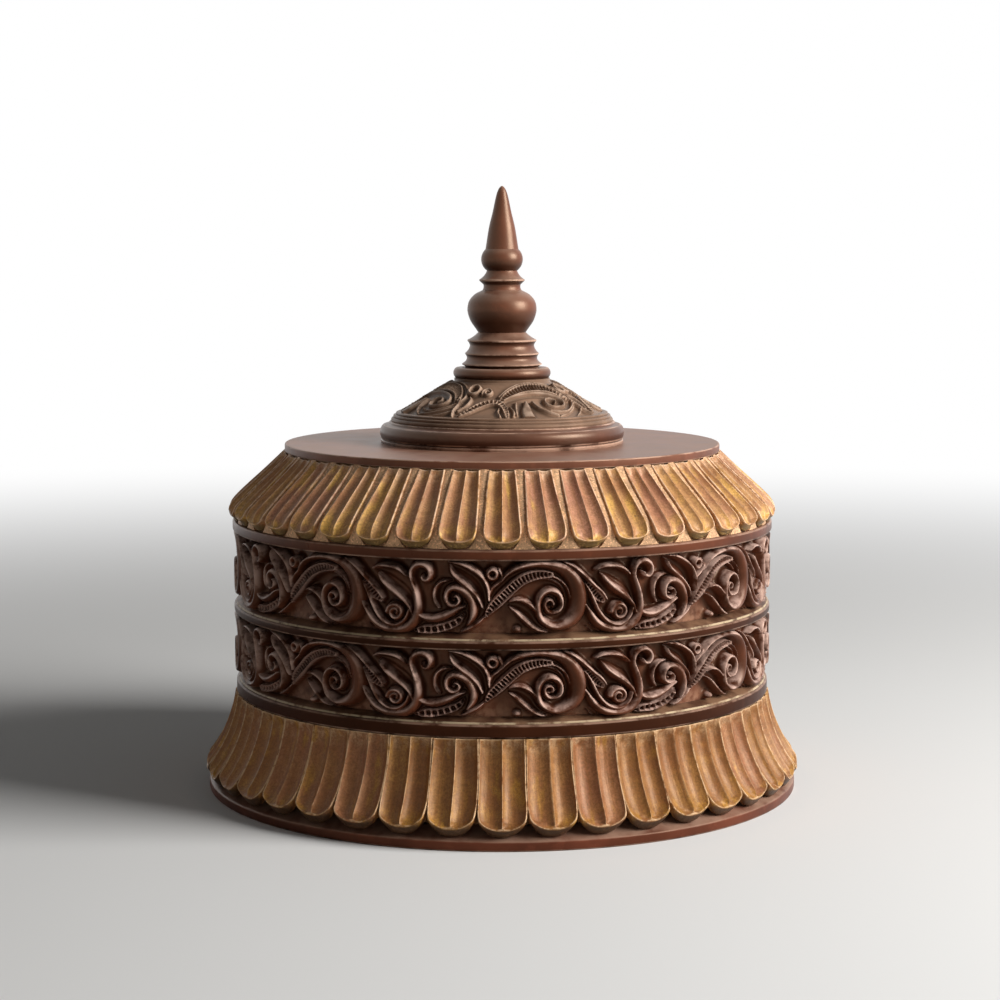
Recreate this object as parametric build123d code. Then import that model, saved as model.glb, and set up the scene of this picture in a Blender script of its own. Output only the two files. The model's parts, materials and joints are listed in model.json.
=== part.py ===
from build123d import *
import math
import os

# ---------------------------------------------------------------------------
# Paan box: a round lidded box of carved and lacquered wood, with a lift-out
# tray of cups inside. Millimetres, +Z up, origin at the centre of the base.
# ---------------------------------------------------------------------------

# Drum, the turned carcass that everything is glued round.
drum_radius = 116.0
drum_wall_thickness = 8.0
drum_floor_thickness = 9.0
neck_step = 4.0
neck_height = 6.5

# Base board: a flat disc with a thin rim and a sloping upper edge.
base_projection = 20.0
base_rim_height = 4.2
base_board_height = 8.5
base_slope_run = 10.0
base_edge_chamfer = 0.8

# Hoops and bands of the drum, from the base petals up to the mouth.
base_petal_ring_height = 36.0
lower_rail_height = 5.9
lower_lip_height = 2.5
lower_frieze_height = 28.7
middle_rail_height = 3.8
upper_lip_height = 2.7
upper_frieze_height = 30.8
upper_rail_height = 4.6
lower_rail_projection = 7.0
middle_rail_projection = 7.7
upper_rail_projection = 9.0
rail_edge_radius = 0.9
lip_bulge = 0.4

# Carved friezes: a thin band with scrolls standing proud of its ground.
frieze_ground_projection = 2.6
frieze_relief = 3.9
frieze_repeats = 8
scroll_margin = 0.8
scroll_phase = -70.7

# Base petals: long tongues on a flared ring.
base_petal_count = 40
base_petal_gap = 0.9
base_flare_lip = 0.5
base_flare_sagitta = 2.3
base_petal_overhang = 1.5
base_petal_tip_height = 5.0
base_petal_tip_depth = 5.5
base_petal_tip_bow = 2.0
base_tip_clearance = 3.9
base_ground_setback = 1.4
base_flute_depth = 1.5
base_flute_width = 8.0
base_flute_end_margin = 8.5

# Lid: a sloping petal ring under a flat disc.
lid_ring_height = 30.75
lid_fit_clearance = 0.4
lid_bore_headroom = 1.5
lid_seat_setback = 3.5
lid_seat_edge_height = 4.0
lid_ground_setback = 2.5
lid_petal_count = 42
lid_petal_gap = 3.4
lid_petal_top_overhang = 0.3
lid_tip_setback = 0.2
lid_tip_height = 4.9
lid_tip_lift = 0.7
lid_tip_bow = 0.6
lid_shoulder_setback = 2.6
lid_shoulder_height = 9.9
lid_flute_depth = 1.2
lid_flute_width = 5.6
lid_flute_end_margin = 2.6
lid_flute_inset = 0.25
lid_ledge_width = 4.0
top_disc_radius = 100.0
top_disc_thickness = 3.5
top_disc_edge_radius = 0.6
lid_ceiling_radius = 93.0
lid_ceiling_thickness = 6.0
glue_gap = 0.1

# Dome with its polished flange.
dome_flange_radius = 55.9
dome_flange_height = 9.7
dome_flange_foot_height = 1.6
dome_flange_shoulder = 3.4
dome_flange_bulge = 1.6
dome_foot_radius = 51.3
dome_foot_height = 2.4
dome_shoulder_radius = 47.8
dome_shoulder_height = 4.6
dome_top_radius = 22.0
dome_height = 19.7
dome_bulge = 0.9

# Finial, turned in one piece above a separate collar.
finial_collar_radius = 22.4
finial_collar_height = 4.8
finial_collar_bulge = 1.2
foot_ring_radii = (18.4, 16.8, 15.9)
foot_ring_heights = (3.8, 6.4, 6.0)
foot_groove_radii = (16.0, 14.6, 10.9)
bulb_radius = 15.9
bulb_height = 19.2
bulb_waist_share = 0.57
bulb_tangents = [(1, 0.6), (0, 1), (-1, 0.35)]
bulb_neck_radius = 8.7
bulb_neck_height = 2.3
upper_ring_radius = 10.6
upper_ring_height = 4.0
upper_cone_height = 2.6
bead_neck_radius = 6.9
bead_radius = 9.6
bead_height = 9.8
spire_base_radius = 7.1
spire_height = 28.6
spire_shoulder_radius = 2.6
spire_shoulder_drop = 3.2
spire_tip_radius = 0.4
spire_bulge = 0.5

# Dowel that pins the finial to the lid.
dowel_radius = 5.0
dowel_fit = 0.1
dowel_depth_in_finial = 15.0

# Tray that hangs on a ledge above the leaf store.
leaf_store_height = 60.0
ledge_width = 4.0
ledge_height = 4.0
tray_clearance = 0.5
tray_rim_thickness = 4.0
tray_rim_height = 28.0
tray_board_thickness = 4.0
tray_board_lift = 18.0

# Seven cups that hang in the tray board by their flanges.
cup_gap = 5.0
cup_edge_gap = 4.0
cup_flange_width = 2.2
cup_flange_thickness = 1.4
cup_depth = 16.5
cup_wall = 1.4
cup_foot_taper = 3.0
cup_hole_clearance = 0.4

# Covers of the lime and catechu cups.
cover_thickness = 1.6
cover_plug_depth = 3.0
cover_plug_clearance = 0.4
cover_plug_wall = 1.4
cover_crown = 3.2
cover_knob_radius = 4.2
cover_knob_neck_radius = 2.1
cover_knob_neck_height = 2.2

# Knobs that lift the tray.
tray_knob_radius = 4.6
tray_knob_foot_radius = 3.8
tray_knob_neck_radius = 2.2
tray_knob_neck_height = 4.0
tray_knob_edge_gap = 7.0
tray_knob_azimuth = 30.0
knob_shank_radius = 1.6
knob_shank_clearance = 0.1

# ---------------------------------------------------------------------------
# Heights and radii that follow from the driving dimensions.
# ---------------------------------------------------------------------------

drum_bore_radius = drum_radius - drum_wall_thickness
neck_radius = drum_radius - neck_step
base_radius = drum_radius + base_projection

lower_rail_z = base_board_height + base_petal_ring_height
lower_lip_z = lower_rail_z + lower_rail_height
lower_frieze_z = lower_lip_z + lower_lip_height
middle_rail_z = lower_frieze_z + lower_frieze_height
upper_lip_z = middle_rail_z + middle_rail_height
upper_frieze_z = upper_lip_z + upper_lip_height
upper_rail_z = upper_frieze_z + upper_frieze_height
mouth_z = upper_rail_z + upper_rail_height

lower_rail_radius = drum_radius + lower_rail_projection
middle_rail_radius = drum_radius + middle_rail_projection
upper_rail_radius = drum_radius + upper_rail_projection
frieze_ground_radius = drum_radius + frieze_ground_projection

top_disc_z = mouth_z + lid_ring_height
flange_z = top_disc_z + top_disc_thickness
dome_z = flange_z + dome_flange_height
collar_z = dome_z + dome_height
finial_z = collar_z + finial_collar_height

floor_z = base_board_height + drum_floor_thickness
ledge_z = floor_z + leaf_store_height
tray_z = ledge_z + ledge_height
tray_board_z = tray_z + tray_board_lift
tray_top_z = tray_board_z + tray_board_thickness
tray_radius = drum_bore_radius - tray_clearance
tray_board_radius = tray_radius - tray_rim_thickness

# From the axis to the rim lie half the middle cup, a gap, an outer cup and the edge gap.
cup_flange_radius = (tray_board_radius - cup_gap - cup_edge_gap) / 3
cup_radius = cup_flange_radius - cup_flange_width
cup_ring_radius = 2 * cup_flange_radius + cup_gap
cup_rim_z = tray_top_z + cup_flange_thickness
outer_cup_count = 6
covered_cups = {"cup_1": "lime_cover", "cup_4": "catechu_cover"}


def turned(outline):
    """Revolve a closed outline of (radius, height) lines and arcs about the axis."""
    return revolve(Plane.XZ * make_face(outline), Axis.Z)


def hoop(inner_radius, outer_radius, low_z, high_z):
    """Plain ring with a square section."""
    corners = [
        (inner_radius, low_z),
        (outer_radius, low_z),
        (outer_radius, high_z),
        (inner_radius, high_z),
    ]
    return turned(Polyline(*corners, close=True))


def rail(outer_radius, low_z, height):
    """Turned hoop round the drum, with its two outer edges eased."""
    ring = hoop(drum_radius, outer_radius, low_z, low_z + height)
    edges = ring.edges().filter_by(GeomType.CIRCLE).sort_by(SortBy.RADIUS)[-2:]
    return fillet(edges, rail_edge_radius)


def lip(rail_radius, low_z, height):
    """Thin bead that slopes from the rail's face back to the frieze's ground."""
    top = (frieze_ground_radius, low_z + height)
    front = (rail_radius - rail_edge_radius, low_z)
    outline = [
        Line((drum_radius, low_z), front),
        SagittaArc(front, top, lip_bulge),
        Line(top, (drum_radius, low_z + height)),
        Line((drum_radius, low_z + height), (drum_radius, low_z)),
    ]
    return turned(outline)


def base_board():
    """Disc on which the box stands, with a thin rim and a sloping upper edge."""
    edge = base_edge_chamfer
    corners = [
        (0, 0),
        (base_radius - edge, 0),
        (base_radius, edge),
        (base_radius, base_rim_height),
        (base_radius - base_slope_run, base_board_height),
        (0, base_board_height),
    ]
    return turned(Polyline(*corners, close=True))


def drum_wall():
    """Turned wall of the box, stepped in at the mouth to a neck for the lid."""
    corners = [
        (drum_bore_radius, base_board_height),
        (drum_radius, base_board_height),
        (drum_radius, mouth_z),
        (neck_radius, mouth_z),
        (neck_radius, mouth_z + neck_height),
        (drum_bore_radius, mouth_z + neck_height),
    ]
    return turned(Polyline(*corners, close=True))


def drum_floor():
    """Board that closes the leaf store, inside the wall."""
    floor = Cylinder(drum_bore_radius, drum_floor_thickness, align=(Align.CENTER, Align.CENTER, Align.MIN))
    return Pos(0, 0, base_board_height) * floor


def bow_centre(start, end, sagitta):
    """Centre and radius of the arc from start to end that bows left of its chord by sagitta."""
    chord = math.dist(start, end)
    radius = (chord**2 / 4 + sagitta**2) / (2 * abs(sagitta))
    left = ((start[1] - end[1]) / chord, (end[0] - start[0]) / chord)
    reach = sagitta - math.copysign(radius, sagitta)
    middle = ((start[0] + end[0]) / 2, (start[1] + end[1]) / 2)
    return (middle[0] + left[0] * reach, middle[1] + left[1] * reach), radius


def flute_radius(width, depth):
    """Radius of a round groove with a given width and depth."""
    return (width**2 / 4 + depth**2) / (2 * depth)


def flute(path, radius):
    """Round groove cutter along a path, with a ball at its lower end."""
    section = Plane(origin=path @ 0, z_dir=path % 0) * Circle(radius)
    return sweep(section, path=path) + Pos(path @ 1) * Sphere(radius)


def petal_outline(top_half_width, low_half_width, top_z, low_z):
    """Tongue with a round lower end, seen from outside the ring."""
    shoulder_z = low_z + low_half_width
    outline = [
        Line((-top_half_width, top_z), (-low_half_width, shoulder_z)),
        ThreePointArc((-low_half_width, shoulder_z), (0, low_z), (low_half_width, shoulder_z)),
        Line((low_half_width, shoulder_z), (top_half_width, top_z)),
        Line((top_half_width, top_z), (-top_half_width, top_z)),
    ]
    return make_face(outline)


def petal_block(section, outline, pitch, reach):
    """Slice of a turned section, cut to the petal's outline. It points along +X."""
    slice_ = revolve(Plane.XZ * make_face(section), Axis.Z, revolution_arc=2 * pitch)
    prism = extrude(Plane.YZ * outline, amount=reach)
    return (Rot(0, 0, -pitch) * slice_) & prism


def ring_of_petals(ring, petal, count):
    """Ring with its petals, the first of them facing the front."""
    copies = [Rot(0, 0, 360 * index / count - 90) * petal for index in range(count)]
    return ring.fuse(*copies)


def base_petal_ring():
    """Flared ring glued on the base board, carved into double-fluted petals."""
    top_z = lower_rail_z
    pitch = 360 / base_petal_count
    half_pitch = math.radians(pitch / 2)
    crest_top = (lower_rail_radius + base_flare_lip, top_z)
    low_z = base_rim_height + base_tip_clearance
    crest_tip = (base_radius + base_petal_overhang, low_z + base_petal_tip_height)
    tip_low = (crest_tip[0] - base_petal_tip_depth, low_z)
    section = [
        Line((drum_radius, top_z), crest_top),
        SagittaArc(crest_top, crest_tip, -base_flare_sagitta),
        SagittaArc(crest_tip, tip_low, -base_petal_tip_bow),
        Line(tip_low, (drum_radius, low_z + base_petal_tip_height)),
        Line((drum_radius, low_z + base_petal_tip_height), (drum_radius, top_z)),
    ]
    top_half_width = crest_top[0] * math.tan(half_pitch) - base_petal_gap / 2
    low_half_width = crest_tip[0] * math.tan(half_pitch) - base_petal_gap / 2
    outline = petal_outline(top_half_width, low_half_width, top_z, low_z)
    petal = petal_block(section, outline, pitch, crest_tip[0] + base_petal_overhang)

    (centre_x, centre_z), radius = bow_centre(crest_top, crest_tip, -base_flare_sagitta)
    groove = flute_radius(base_flute_width, base_flute_depth)
    path_radius = radius - groove + base_flute_depth
    angle_step = math.degrees(1 / radius)
    top_angle = math.degrees(math.atan2(crest_top[1] - centre_z, crest_top[0] - centre_x)) % 360
    tip_angle = math.degrees(math.atan2(crest_tip[1] - centre_z, crest_tip[0] - centre_x)) % 360
    start_angle = top_angle - base_flute_width * angle_step
    end_angle = tip_angle + (base_petal_tip_height - base_flute_end_margin) * angle_step
    path = Plane.XZ * CenterArc((centre_x, centre_z), path_radius, start_angle, end_angle - start_angle)
    cutter = flute(path, groove)
    petal -= Rot(0, 0, -pitch / 4) * cutter
    petal -= Rot(0, 0, pitch / 4) * cutter

    ground_top = (crest_top[0] - base_ground_setback, top_z)
    ground_foot = (base_radius - base_slope_run, base_board_height)
    ground = [
        Line((drum_radius, top_z), ground_top),
        SagittaArc(ground_top, ground_foot, -base_flare_sagitta),
        Line(ground_foot, (drum_radius, base_board_height)),
        Line((drum_radius, base_board_height), (drum_radius, top_z)),
    ]
    return ring_of_petals(turned(ground), petal, base_petal_count)


def lid_petal_ring():
    """Sloping ring of the lid, carved into double-fluted petals that hang over the rail."""
    pitch = 360 / lid_petal_count
    half_pitch = math.radians(pitch / 2)
    bore = neck_radius + lid_fit_clearance
    bore_top_z = mouth_z + neck_height + lid_bore_headroom
    ceiling_z = top_disc_z - lid_ceiling_thickness
    recess_radius = lid_ceiling_radius + glue_gap
    seat_radius = upper_rail_radius - lid_seat_setback
    ground_top_radius = top_disc_radius - lid_ground_setback
    body = turned(
        Polyline(
            (bore, mouth_z),
            (seat_radius, mouth_z),
            (seat_radius, mouth_z + lid_seat_edge_height),
            (ground_top_radius, top_disc_z),
            (recess_radius, top_disc_z),
            (recess_radius, ceiling_z),
            (recess_radius - lid_ledge_width, ceiling_z),
            (bore, bore_top_z),
            close=True,
        )
    )

    crest_top = (top_disc_radius + lid_petal_top_overhang, top_disc_z)
    shoulder = (upper_rail_radius - lid_shoulder_setback, mouth_z + lid_shoulder_height)
    tip = (upper_rail_radius - lid_tip_setback, mouth_z + lid_tip_height)
    low = (seat_radius, mouth_z + lid_tip_lift)
    inner_radius = ground_top_radius - lid_ground_setback
    section = [
        Line((inner_radius, top_disc_z), crest_top),
        Line(crest_top, shoulder),
        SagittaArc(shoulder, tip, lid_tip_bow),
        SagittaArc(tip, low, -lid_tip_lift),
        Line(low, (seat_radius - lid_seat_setback, low[1] + lid_seat_edge_height)),
        Line((seat_radius - lid_seat_setback, low[1] + lid_seat_edge_height), (inner_radius, top_disc_z)),
    ]
    top_half_width = crest_top[0] * math.tan(half_pitch) - lid_petal_gap / 2
    low_half_width = tip[0] * math.tan(half_pitch) - lid_petal_gap / 2
    outline = petal_outline(top_half_width, low_half_width, top_disc_z, low[1])
    petal = petal_block(section, outline, pitch, tip[0] + lid_tip_height)

    groove = flute_radius(lid_flute_width, lid_flute_depth)
    slope = (Vector(*shoulder) - Vector(*crest_top)).normalized()
    outward = Vector(-slope.Y, slope.X) * (groove - lid_flute_depth)
    start = Vector(*crest_top) - slope * lid_flute_width + outward
    end = Vector(*shoulder) - slope * lid_flute_end_margin + outward
    path = Edge.make_line((start.X, 0, start.Y), (end.X, 0, end.Y))
    cutter = flute(path, groove)
    petal -= Rot(0, 0, -pitch / 4 + lid_flute_inset) * cutter
    petal -= Rot(0, 0, pitch / 4 - lid_flute_inset) * cutter
    return ring_of_petals(body, petal, lid_petal_count)


def lid_ceiling():
    """Board let into the top of the lid ring."""
    high = (Align.CENTER, Align.CENTER, Align.MAX)
    board = Cylinder(lid_ceiling_radius, lid_ceiling_thickness, align=high)
    return Pos(0, 0, top_disc_z) * board - dowel_hole()


def lid_top_disc():
    """Flat disc that overhangs the petals, with eased edges."""
    disc = Cylinder(top_disc_radius, top_disc_thickness, align=(Align.CENTER, Align.CENTER, Align.MIN))
    disc = fillet(disc.edges().filter_by(GeomType.CIRCLE), top_disc_edge_radius)
    return Pos(0, 0, top_disc_z) * disc - dowel_hole()


def dowel_bottom_z():
    """The dowel stops flush with the underside of the ceiling board."""
    return top_disc_z - lid_ceiling_thickness


def dowel_hole():
    """Hole for the dowel, through everything that it pins."""
    height = finial_z + dowel_depth_in_finial - dowel_bottom_z()
    low = (Align.CENTER, Align.CENTER, Align.MIN)
    hole = Cylinder(dowel_radius + dowel_fit, height + 2 * dowel_fit, align=low)
    return Pos(0, 0, dowel_bottom_z() - dowel_fit) * hole


def finial_dowel():
    """Round dowel on the lid's axis."""
    height = finial_z + dowel_depth_in_finial - dowel_bottom_z()
    dowel = Cylinder(dowel_radius, height, align=(Align.CENTER, Align.CENTER, Align.MIN))
    return Pos(0, 0, dowel_bottom_z()) * dowel


def dome_flange():
    """Polished moulding under the dome: a fillet, a broad ovolo and a flat top."""
    foot_z = flange_z + dome_flange_foot_height
    shoulder = (dome_flange_radius - dome_flange_shoulder, dome_z)
    foot = (dome_flange_radius, foot_z)
    outline = [
        Line((0, flange_z), (dome_flange_radius, flange_z)),
        Line((dome_flange_radius, flange_z), foot),
        SagittaArc(foot, shoulder, -dome_flange_bulge),
        Line(shoulder, (0, dome_z)),
        Line((0, dome_z), (0, flange_z)),
    ]
    return turned(outline) - dowel_hole()


def dome():
    """Low cone with a stepped foot; its slope carries the scrolls."""
    foot_top_z = dome_z + dome_foot_height
    shoulder = (dome_shoulder_radius, dome_z + dome_shoulder_height)
    crown = (dome_top_radius, collar_z)
    outline = [
        Line((0, dome_z), (dome_foot_radius, dome_z)),
        Line((dome_foot_radius, dome_z), (dome_foot_radius, foot_top_z)),
        Line((dome_foot_radius, foot_top_z), shoulder),
        SagittaArc(shoulder, crown, -dome_bulge),
        Line(crown, (0, collar_z)),
        Line((0, collar_z), (0, dome_z)),
    ]
    return turned(outline) - dowel_hole()


def finial_collar():
    """Turned washer between the dome and the finial."""
    flat = finial_collar_radius - finial_collar_bulge
    outline = [
        Line((0, collar_z), (flat, collar_z)),
        SagittaArc((flat, collar_z), (flat, finial_z), -finial_collar_bulge),
        Line((flat, finial_z), (0, finial_z)),
        Line((0, finial_z), (0, collar_z)),
    ]
    return turned(outline) - dowel_hole()


def bead(points, radius, height, top_radius):
    """Edges of one turned bead, from the last point up to top_radius."""
    start = points[-1]
    end = (top_radius, start[1] + height)
    middle = (radius, start[1] + height / 2)
    points.append(end)
    return ThreePointArc(start, middle, end)


def finial():
    """Ringed foot, onion bulb, ring, bead and pointed spire."""
    points = [(foot_groove_radii[0], finial_z)]
    edges = [Line((0, finial_z), points[0])]
    for radius, height, groove in zip(foot_ring_radii, foot_ring_heights, foot_groove_radii):
        edges.append(bead(points, radius, height, groove))
    bulb_foot = points[-1]
    waist = (bulb_radius, bulb_foot[1] + bulb_height * bulb_waist_share)
    bulb_top = (bulb_neck_radius, bulb_foot[1] + bulb_height)
    edges.append(Spline(bulb_foot, waist, bulb_top, tangents=bulb_tangents))
    points.append((bulb_neck_radius, bulb_top[1] + bulb_neck_height))
    edges.append(Line(bulb_top, points[-1]))
    edges.append(bead(points, upper_ring_radius, upper_ring_height, bulb_neck_radius))
    cone_top = (bead_neck_radius, points[-1][1] + upper_cone_height)
    edges.append(Line(points[-1], cone_top))
    points.append(cone_top)
    edges.append(bead(points, bead_radius, bead_height, spire_base_radius))
    spire_foot = points[-1]
    tip_z = spire_foot[1] + spire_height
    spire_shoulder = (spire_shoulder_radius, tip_z - spire_shoulder_drop)
    edges.append(SagittaArc(spire_foot, spire_shoulder, -spire_bulge))
    edges.append(SagittaArc(spire_shoulder, (spire_tip_radius, tip_z), -spire_bulge))
    edges.append(Line((spire_tip_radius, tip_z), (0, tip_z)))
    edges.append(Line((0, tip_z), (0, finial_z)))
    return turned(edges) - dowel_hole()


def stroke(points, heading, width, unit):
    """Round-ended scroll stem along tangent arcs. Heading is its first direction, in degrees."""
    scaled = [(x * unit, y * unit) for x, y in points]
    direction = (math.cos(math.radians(heading)), math.sin(math.radians(heading)))
    arcs = []
    for start, end in zip(scaled, scaled[1:]):
        arcs.append(TangentArc(start, end, tangent=direction))
        direction = arcs[-1] % 1
    return SlotArc(Wire(arcs), width * unit)


def leaf(centre, length, width, tilt, unit):
    """Scooped leaf lobe, as a plain oval."""
    oval = Ellipse(length * unit / 2, width * unit / 2, rotation=tilt)
    return Pos(centre[0] * unit, centre[1] * unit) * oval


def eyelet(centre, radius, hole_radius, unit):
    """Rolled end of a stem, with a hole at its eye."""
    roll = Circle(radius * unit) - Circle(hole_radius * unit)
    return Pos(centre[0] * unit, centre[1] * unit) * roll


def scroll_motif(unit):
    """One repeat of the running scroll. Unit scales its whole drawing."""
    forms = [
        stroke([(1, 7), (12, 20), (24, 26), (37, 17), (31, 4)], 45, 4.8, unit),
        eyelet((27, 12), 5.4, 1.3, unit),
        leaf((17.5, 6.5), 13, 5, -35, unit),
        stroke([(39.5, 24), (47, 16), (52, 7.5), (60, 3.6), (67.5, 10), (66.5, 22)], -45, 2.8, unit),
        eyelet((58.5, 8.6), 4.2, 1.0, unit),
        leaf((57, 19.5), 21, 7, -38, unit),
        eyelet((71, 24), 4.6, 1.7, unit),
        stroke([(70.5, 3), (79, 3.6), (87, 9)], -5, 3.6, unit),
        eyelet((84, 14.5), 5.2, 1.3, unit),
        leaf((89.5, 21.5), 15, 6.4, -48, unit),
        eyelet((3.5, 23.5), 3.0, 1.0, unit),
    ]
    return forms[0].fuse(*forms[1:])


def frieze(low_z, height):
    """Band round the drum with its running scroll standing proud of the ground."""
    ground = hoop(drum_radius, frieze_ground_radius, low_z, low_z + height)
    relief_radius = frieze_ground_radius + frieze_relief
    inner_radius = drum_radius + frieze_ground_projection / 2
    shell = hoop(inner_radius, relief_radius, low_z + scroll_margin, low_z + height - scroll_margin)
    repeat_length = 2 * relief_radius * math.sin(math.pi / frieze_repeats)
    size = scroll_motif(1).bounding_box()
    unit = min(repeat_length / size.size.X, (height - 2 * scroll_margin) / size.size.Y)
    origin = (0, -size.center().X * unit, low_z + height / 2 - size.center().Y * unit)
    drawing = Plane(origin=origin, x_dir=(0, 1, 0), z_dir=(1, 0, 0)) * scroll_motif(unit)
    relief = extrude(drawing, amount=relief_radius + frieze_relief) & shell
    step = 360 / frieze_repeats
    copies = []
    for index in range(frieze_repeats):
        copies += [Rot(0, 0, index * step + scroll_phase) * form for form in relief.solids()]
    return ground.fuse(*copies)


def tray_ledge():
    """Hoop glued inside the drum, which carries the tray."""
    return hoop(drum_bore_radius - ledge_width, drum_bore_radius, ledge_z, tray_z)


def tray_rim():
    """Hoop round the tray board, which stands on the ledge."""
    return hoop(tray_board_radius, tray_radius, tray_z, tray_z + tray_rim_height)


def cup_places():
    """Centres of the cups: one in the middle and a ring round it."""
    places = {"cup_0": (0, 0)}
    for index in range(outer_cup_count):
        angle = math.radians(360 * index / outer_cup_count)
        places[f"cup_{index + 1}"] = (cup_ring_radius * math.cos(angle), cup_ring_radius * math.sin(angle))
    return places


def knob_places():
    """Centres of the two tray knobs, each between two outer cups."""
    reach = tray_board_radius - tray_knob_edge_gap - tray_knob_radius
    angles = {"tray_knob_right": tray_knob_azimuth, "tray_knob_left": tray_knob_azimuth + 180}
    places = {}
    for name, degrees in angles.items():
        angle = math.radians(degrees)
        places[name] = (reach * math.cos(angle), reach * math.sin(angle))
    return places


def tray_board():
    """Round board with a hole for each cup and for each knob's shank."""
    low = (Align.CENTER, Align.CENTER, Align.MIN)
    board = Pos(0, 0, tray_board_z) * Cylinder(tray_board_radius, tray_board_thickness, align=low)
    for x, y in cup_places().values():
        hole = Cylinder(cup_radius + cup_hole_clearance, tray_board_thickness, align=low)
        board -= Pos(x, y, tray_board_z) * hole
    for x, y in knob_places().values():
        hole = Cylinder(knob_shank_radius + knob_shank_clearance, tray_board_thickness, align=low)
        board -= Pos(x, y, tray_board_z) * hole
    return board


def ball_top(neck, neck_radius, ball_radius):
    """Arc of a ball that sits on a neck, and the height of its top."""
    centre_z = neck + math.sqrt(ball_radius**2 - neck_radius**2)
    top_z = centre_z + ball_radius
    return ThreePointArc((neck_radius, neck), (ball_radius, centre_z), (0, top_z)), top_z


def tray_knob(place):
    """Turned ball knob with a shank that passes through the tray board."""
    neck_z = tray_top_z + tray_knob_neck_height
    ball, top_z = ball_top(neck_z, tray_knob_neck_radius, tray_knob_radius)
    foot_radius = tray_knob_foot_radius
    outline = [
        Line((0, tray_board_z), (knob_shank_radius, tray_board_z)),
        Line((knob_shank_radius, tray_board_z), (knob_shank_radius, tray_top_z)),
        Line((knob_shank_radius, tray_top_z), (foot_radius, tray_top_z)),
        Line((foot_radius, tray_top_z), (tray_knob_neck_radius, neck_z)),
        ball,
        Line((0, top_z), (0, tray_board_z)),
    ]
    return Pos(*place, 0) * turned(outline)


def cup(place):
    """Turned metal cup that hangs by its flange."""
    low_z = cup_rim_z - cup_depth - cup_wall
    foot_radius = cup_radius - cup_foot_taper
    outline = [
        Line((0, low_z), (foot_radius - cup_foot_taper, low_z)),
        SagittaArc((foot_radius - cup_foot_taper, low_z), (cup_radius, tray_board_z), -cup_wall),
        Line((cup_radius, tray_board_z), (cup_radius, tray_top_z)),
        Line((cup_radius, tray_top_z), (cup_flange_radius, tray_top_z)),
        Line((cup_flange_radius, tray_top_z), (cup_flange_radius, cup_rim_z)),
        Line((cup_flange_radius, cup_rim_z), (cup_radius - cup_wall, cup_rim_z)),
        Line((cup_radius - cup_wall, cup_rim_z), (cup_radius - cup_wall, tray_board_z)),
        SagittaArc(
            (cup_radius - cup_wall, tray_board_z),
            (foot_radius - cup_foot_taper - cup_wall, low_z + cup_wall),
            cup_wall,
        ),
        Line((foot_radius - cup_foot_taper - cup_wall, low_z + cup_wall), (0, low_z + cup_wall)),
        Line((0, low_z + cup_wall), (0, low_z)),
    ]
    return Pos(*place, 0) * turned(outline)


def cup_cover(place):
    """Domed cover with a plug that drops into its cup, and a knob."""
    plug_radius = cup_radius - cup_wall - cover_plug_clearance
    plug_z = cup_rim_z - cover_plug_depth
    edge_z = cup_rim_z + cover_thickness
    crown_z = edge_z + cover_crown
    neck_z = crown_z + cover_knob_neck_height
    ball, knob_top_z = ball_top(neck_z, cover_knob_neck_radius, cover_knob_radius)
    outline = [
        Line((0, cup_rim_z), (plug_radius - cover_plug_wall, cup_rim_z)),
        Line((plug_radius - cover_plug_wall, cup_rim_z), (plug_radius - cover_plug_wall, plug_z)),
        Line((plug_radius - cover_plug_wall, plug_z), (plug_radius, plug_z)),
        Line((plug_radius, plug_z), (plug_radius, cup_rim_z)),
        Line((plug_radius, cup_rim_z), (cup_flange_radius, cup_rim_z)),
        Line((cup_flange_radius, cup_rim_z), (cup_flange_radius, edge_z)),
        Line((cup_flange_radius, edge_z), (cover_knob_neck_radius, crown_z)),
        Line((cover_knob_neck_radius, crown_z), (cover_knob_neck_radius, neck_z)),
        ball,
        Line((0, knob_top_z), (0, cup_rim_z)),
    ]
    return Pos(*place, 0) * turned(outline)


def build_nodes():
    """Every separate piece by name."""
    nodes = {
        "base_board": base_board(),
        "base_petal_ring": base_petal_ring(),
        "drum_wall": drum_wall(),
        "drum_floor": drum_floor(),
        "lower_rail": rail(lower_rail_radius, lower_rail_z, lower_rail_height),
        "lower_lip": lip(lower_rail_radius, lower_lip_z, lower_lip_height),
        "lower_frieze": frieze(lower_frieze_z, lower_frieze_height),
        "middle_rail": rail(middle_rail_radius, middle_rail_z, middle_rail_height),
        "upper_lip": lip(middle_rail_radius, upper_lip_z, upper_lip_height),
        "upper_frieze": frieze(upper_frieze_z, upper_frieze_height),
        "upper_rail": rail(upper_rail_radius, upper_rail_z, upper_rail_height),
        "tray_ledge": tray_ledge(),
        "lid_petal_ring": lid_petal_ring(),
        "lid_ceiling": lid_ceiling(),
        "lid_top_disc": lid_top_disc(),
        "dome_flange": dome_flange(),
        "dome": dome(),
        "finial_collar": finial_collar(),
        "finial": finial(),
        "finial_dowel": finial_dowel(),
        "tray_rim": tray_rim(),
        "tray_board": tray_board(),
    }
    for name, place in knob_places().items():
        nodes[name] = tray_knob(place)
    for name, place in cup_places().items():
        nodes[name] = cup(place)
        if name in covered_cups:
            nodes[covered_cups[name]] = cup_cover(place)
    return nodes


os.makedirs("parts", exist_ok=True)
for node_name, shape in build_nodes().items():
    export_step(shape, f"parts/{node_name}.step")
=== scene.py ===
"""The looks of a turned, carved and lacquered paan box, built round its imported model.

Lengths are in millimetres until a mesh is made, and angles are in degrees.
"""

import functools
import json
import math
from dataclasses import dataclass

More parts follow.
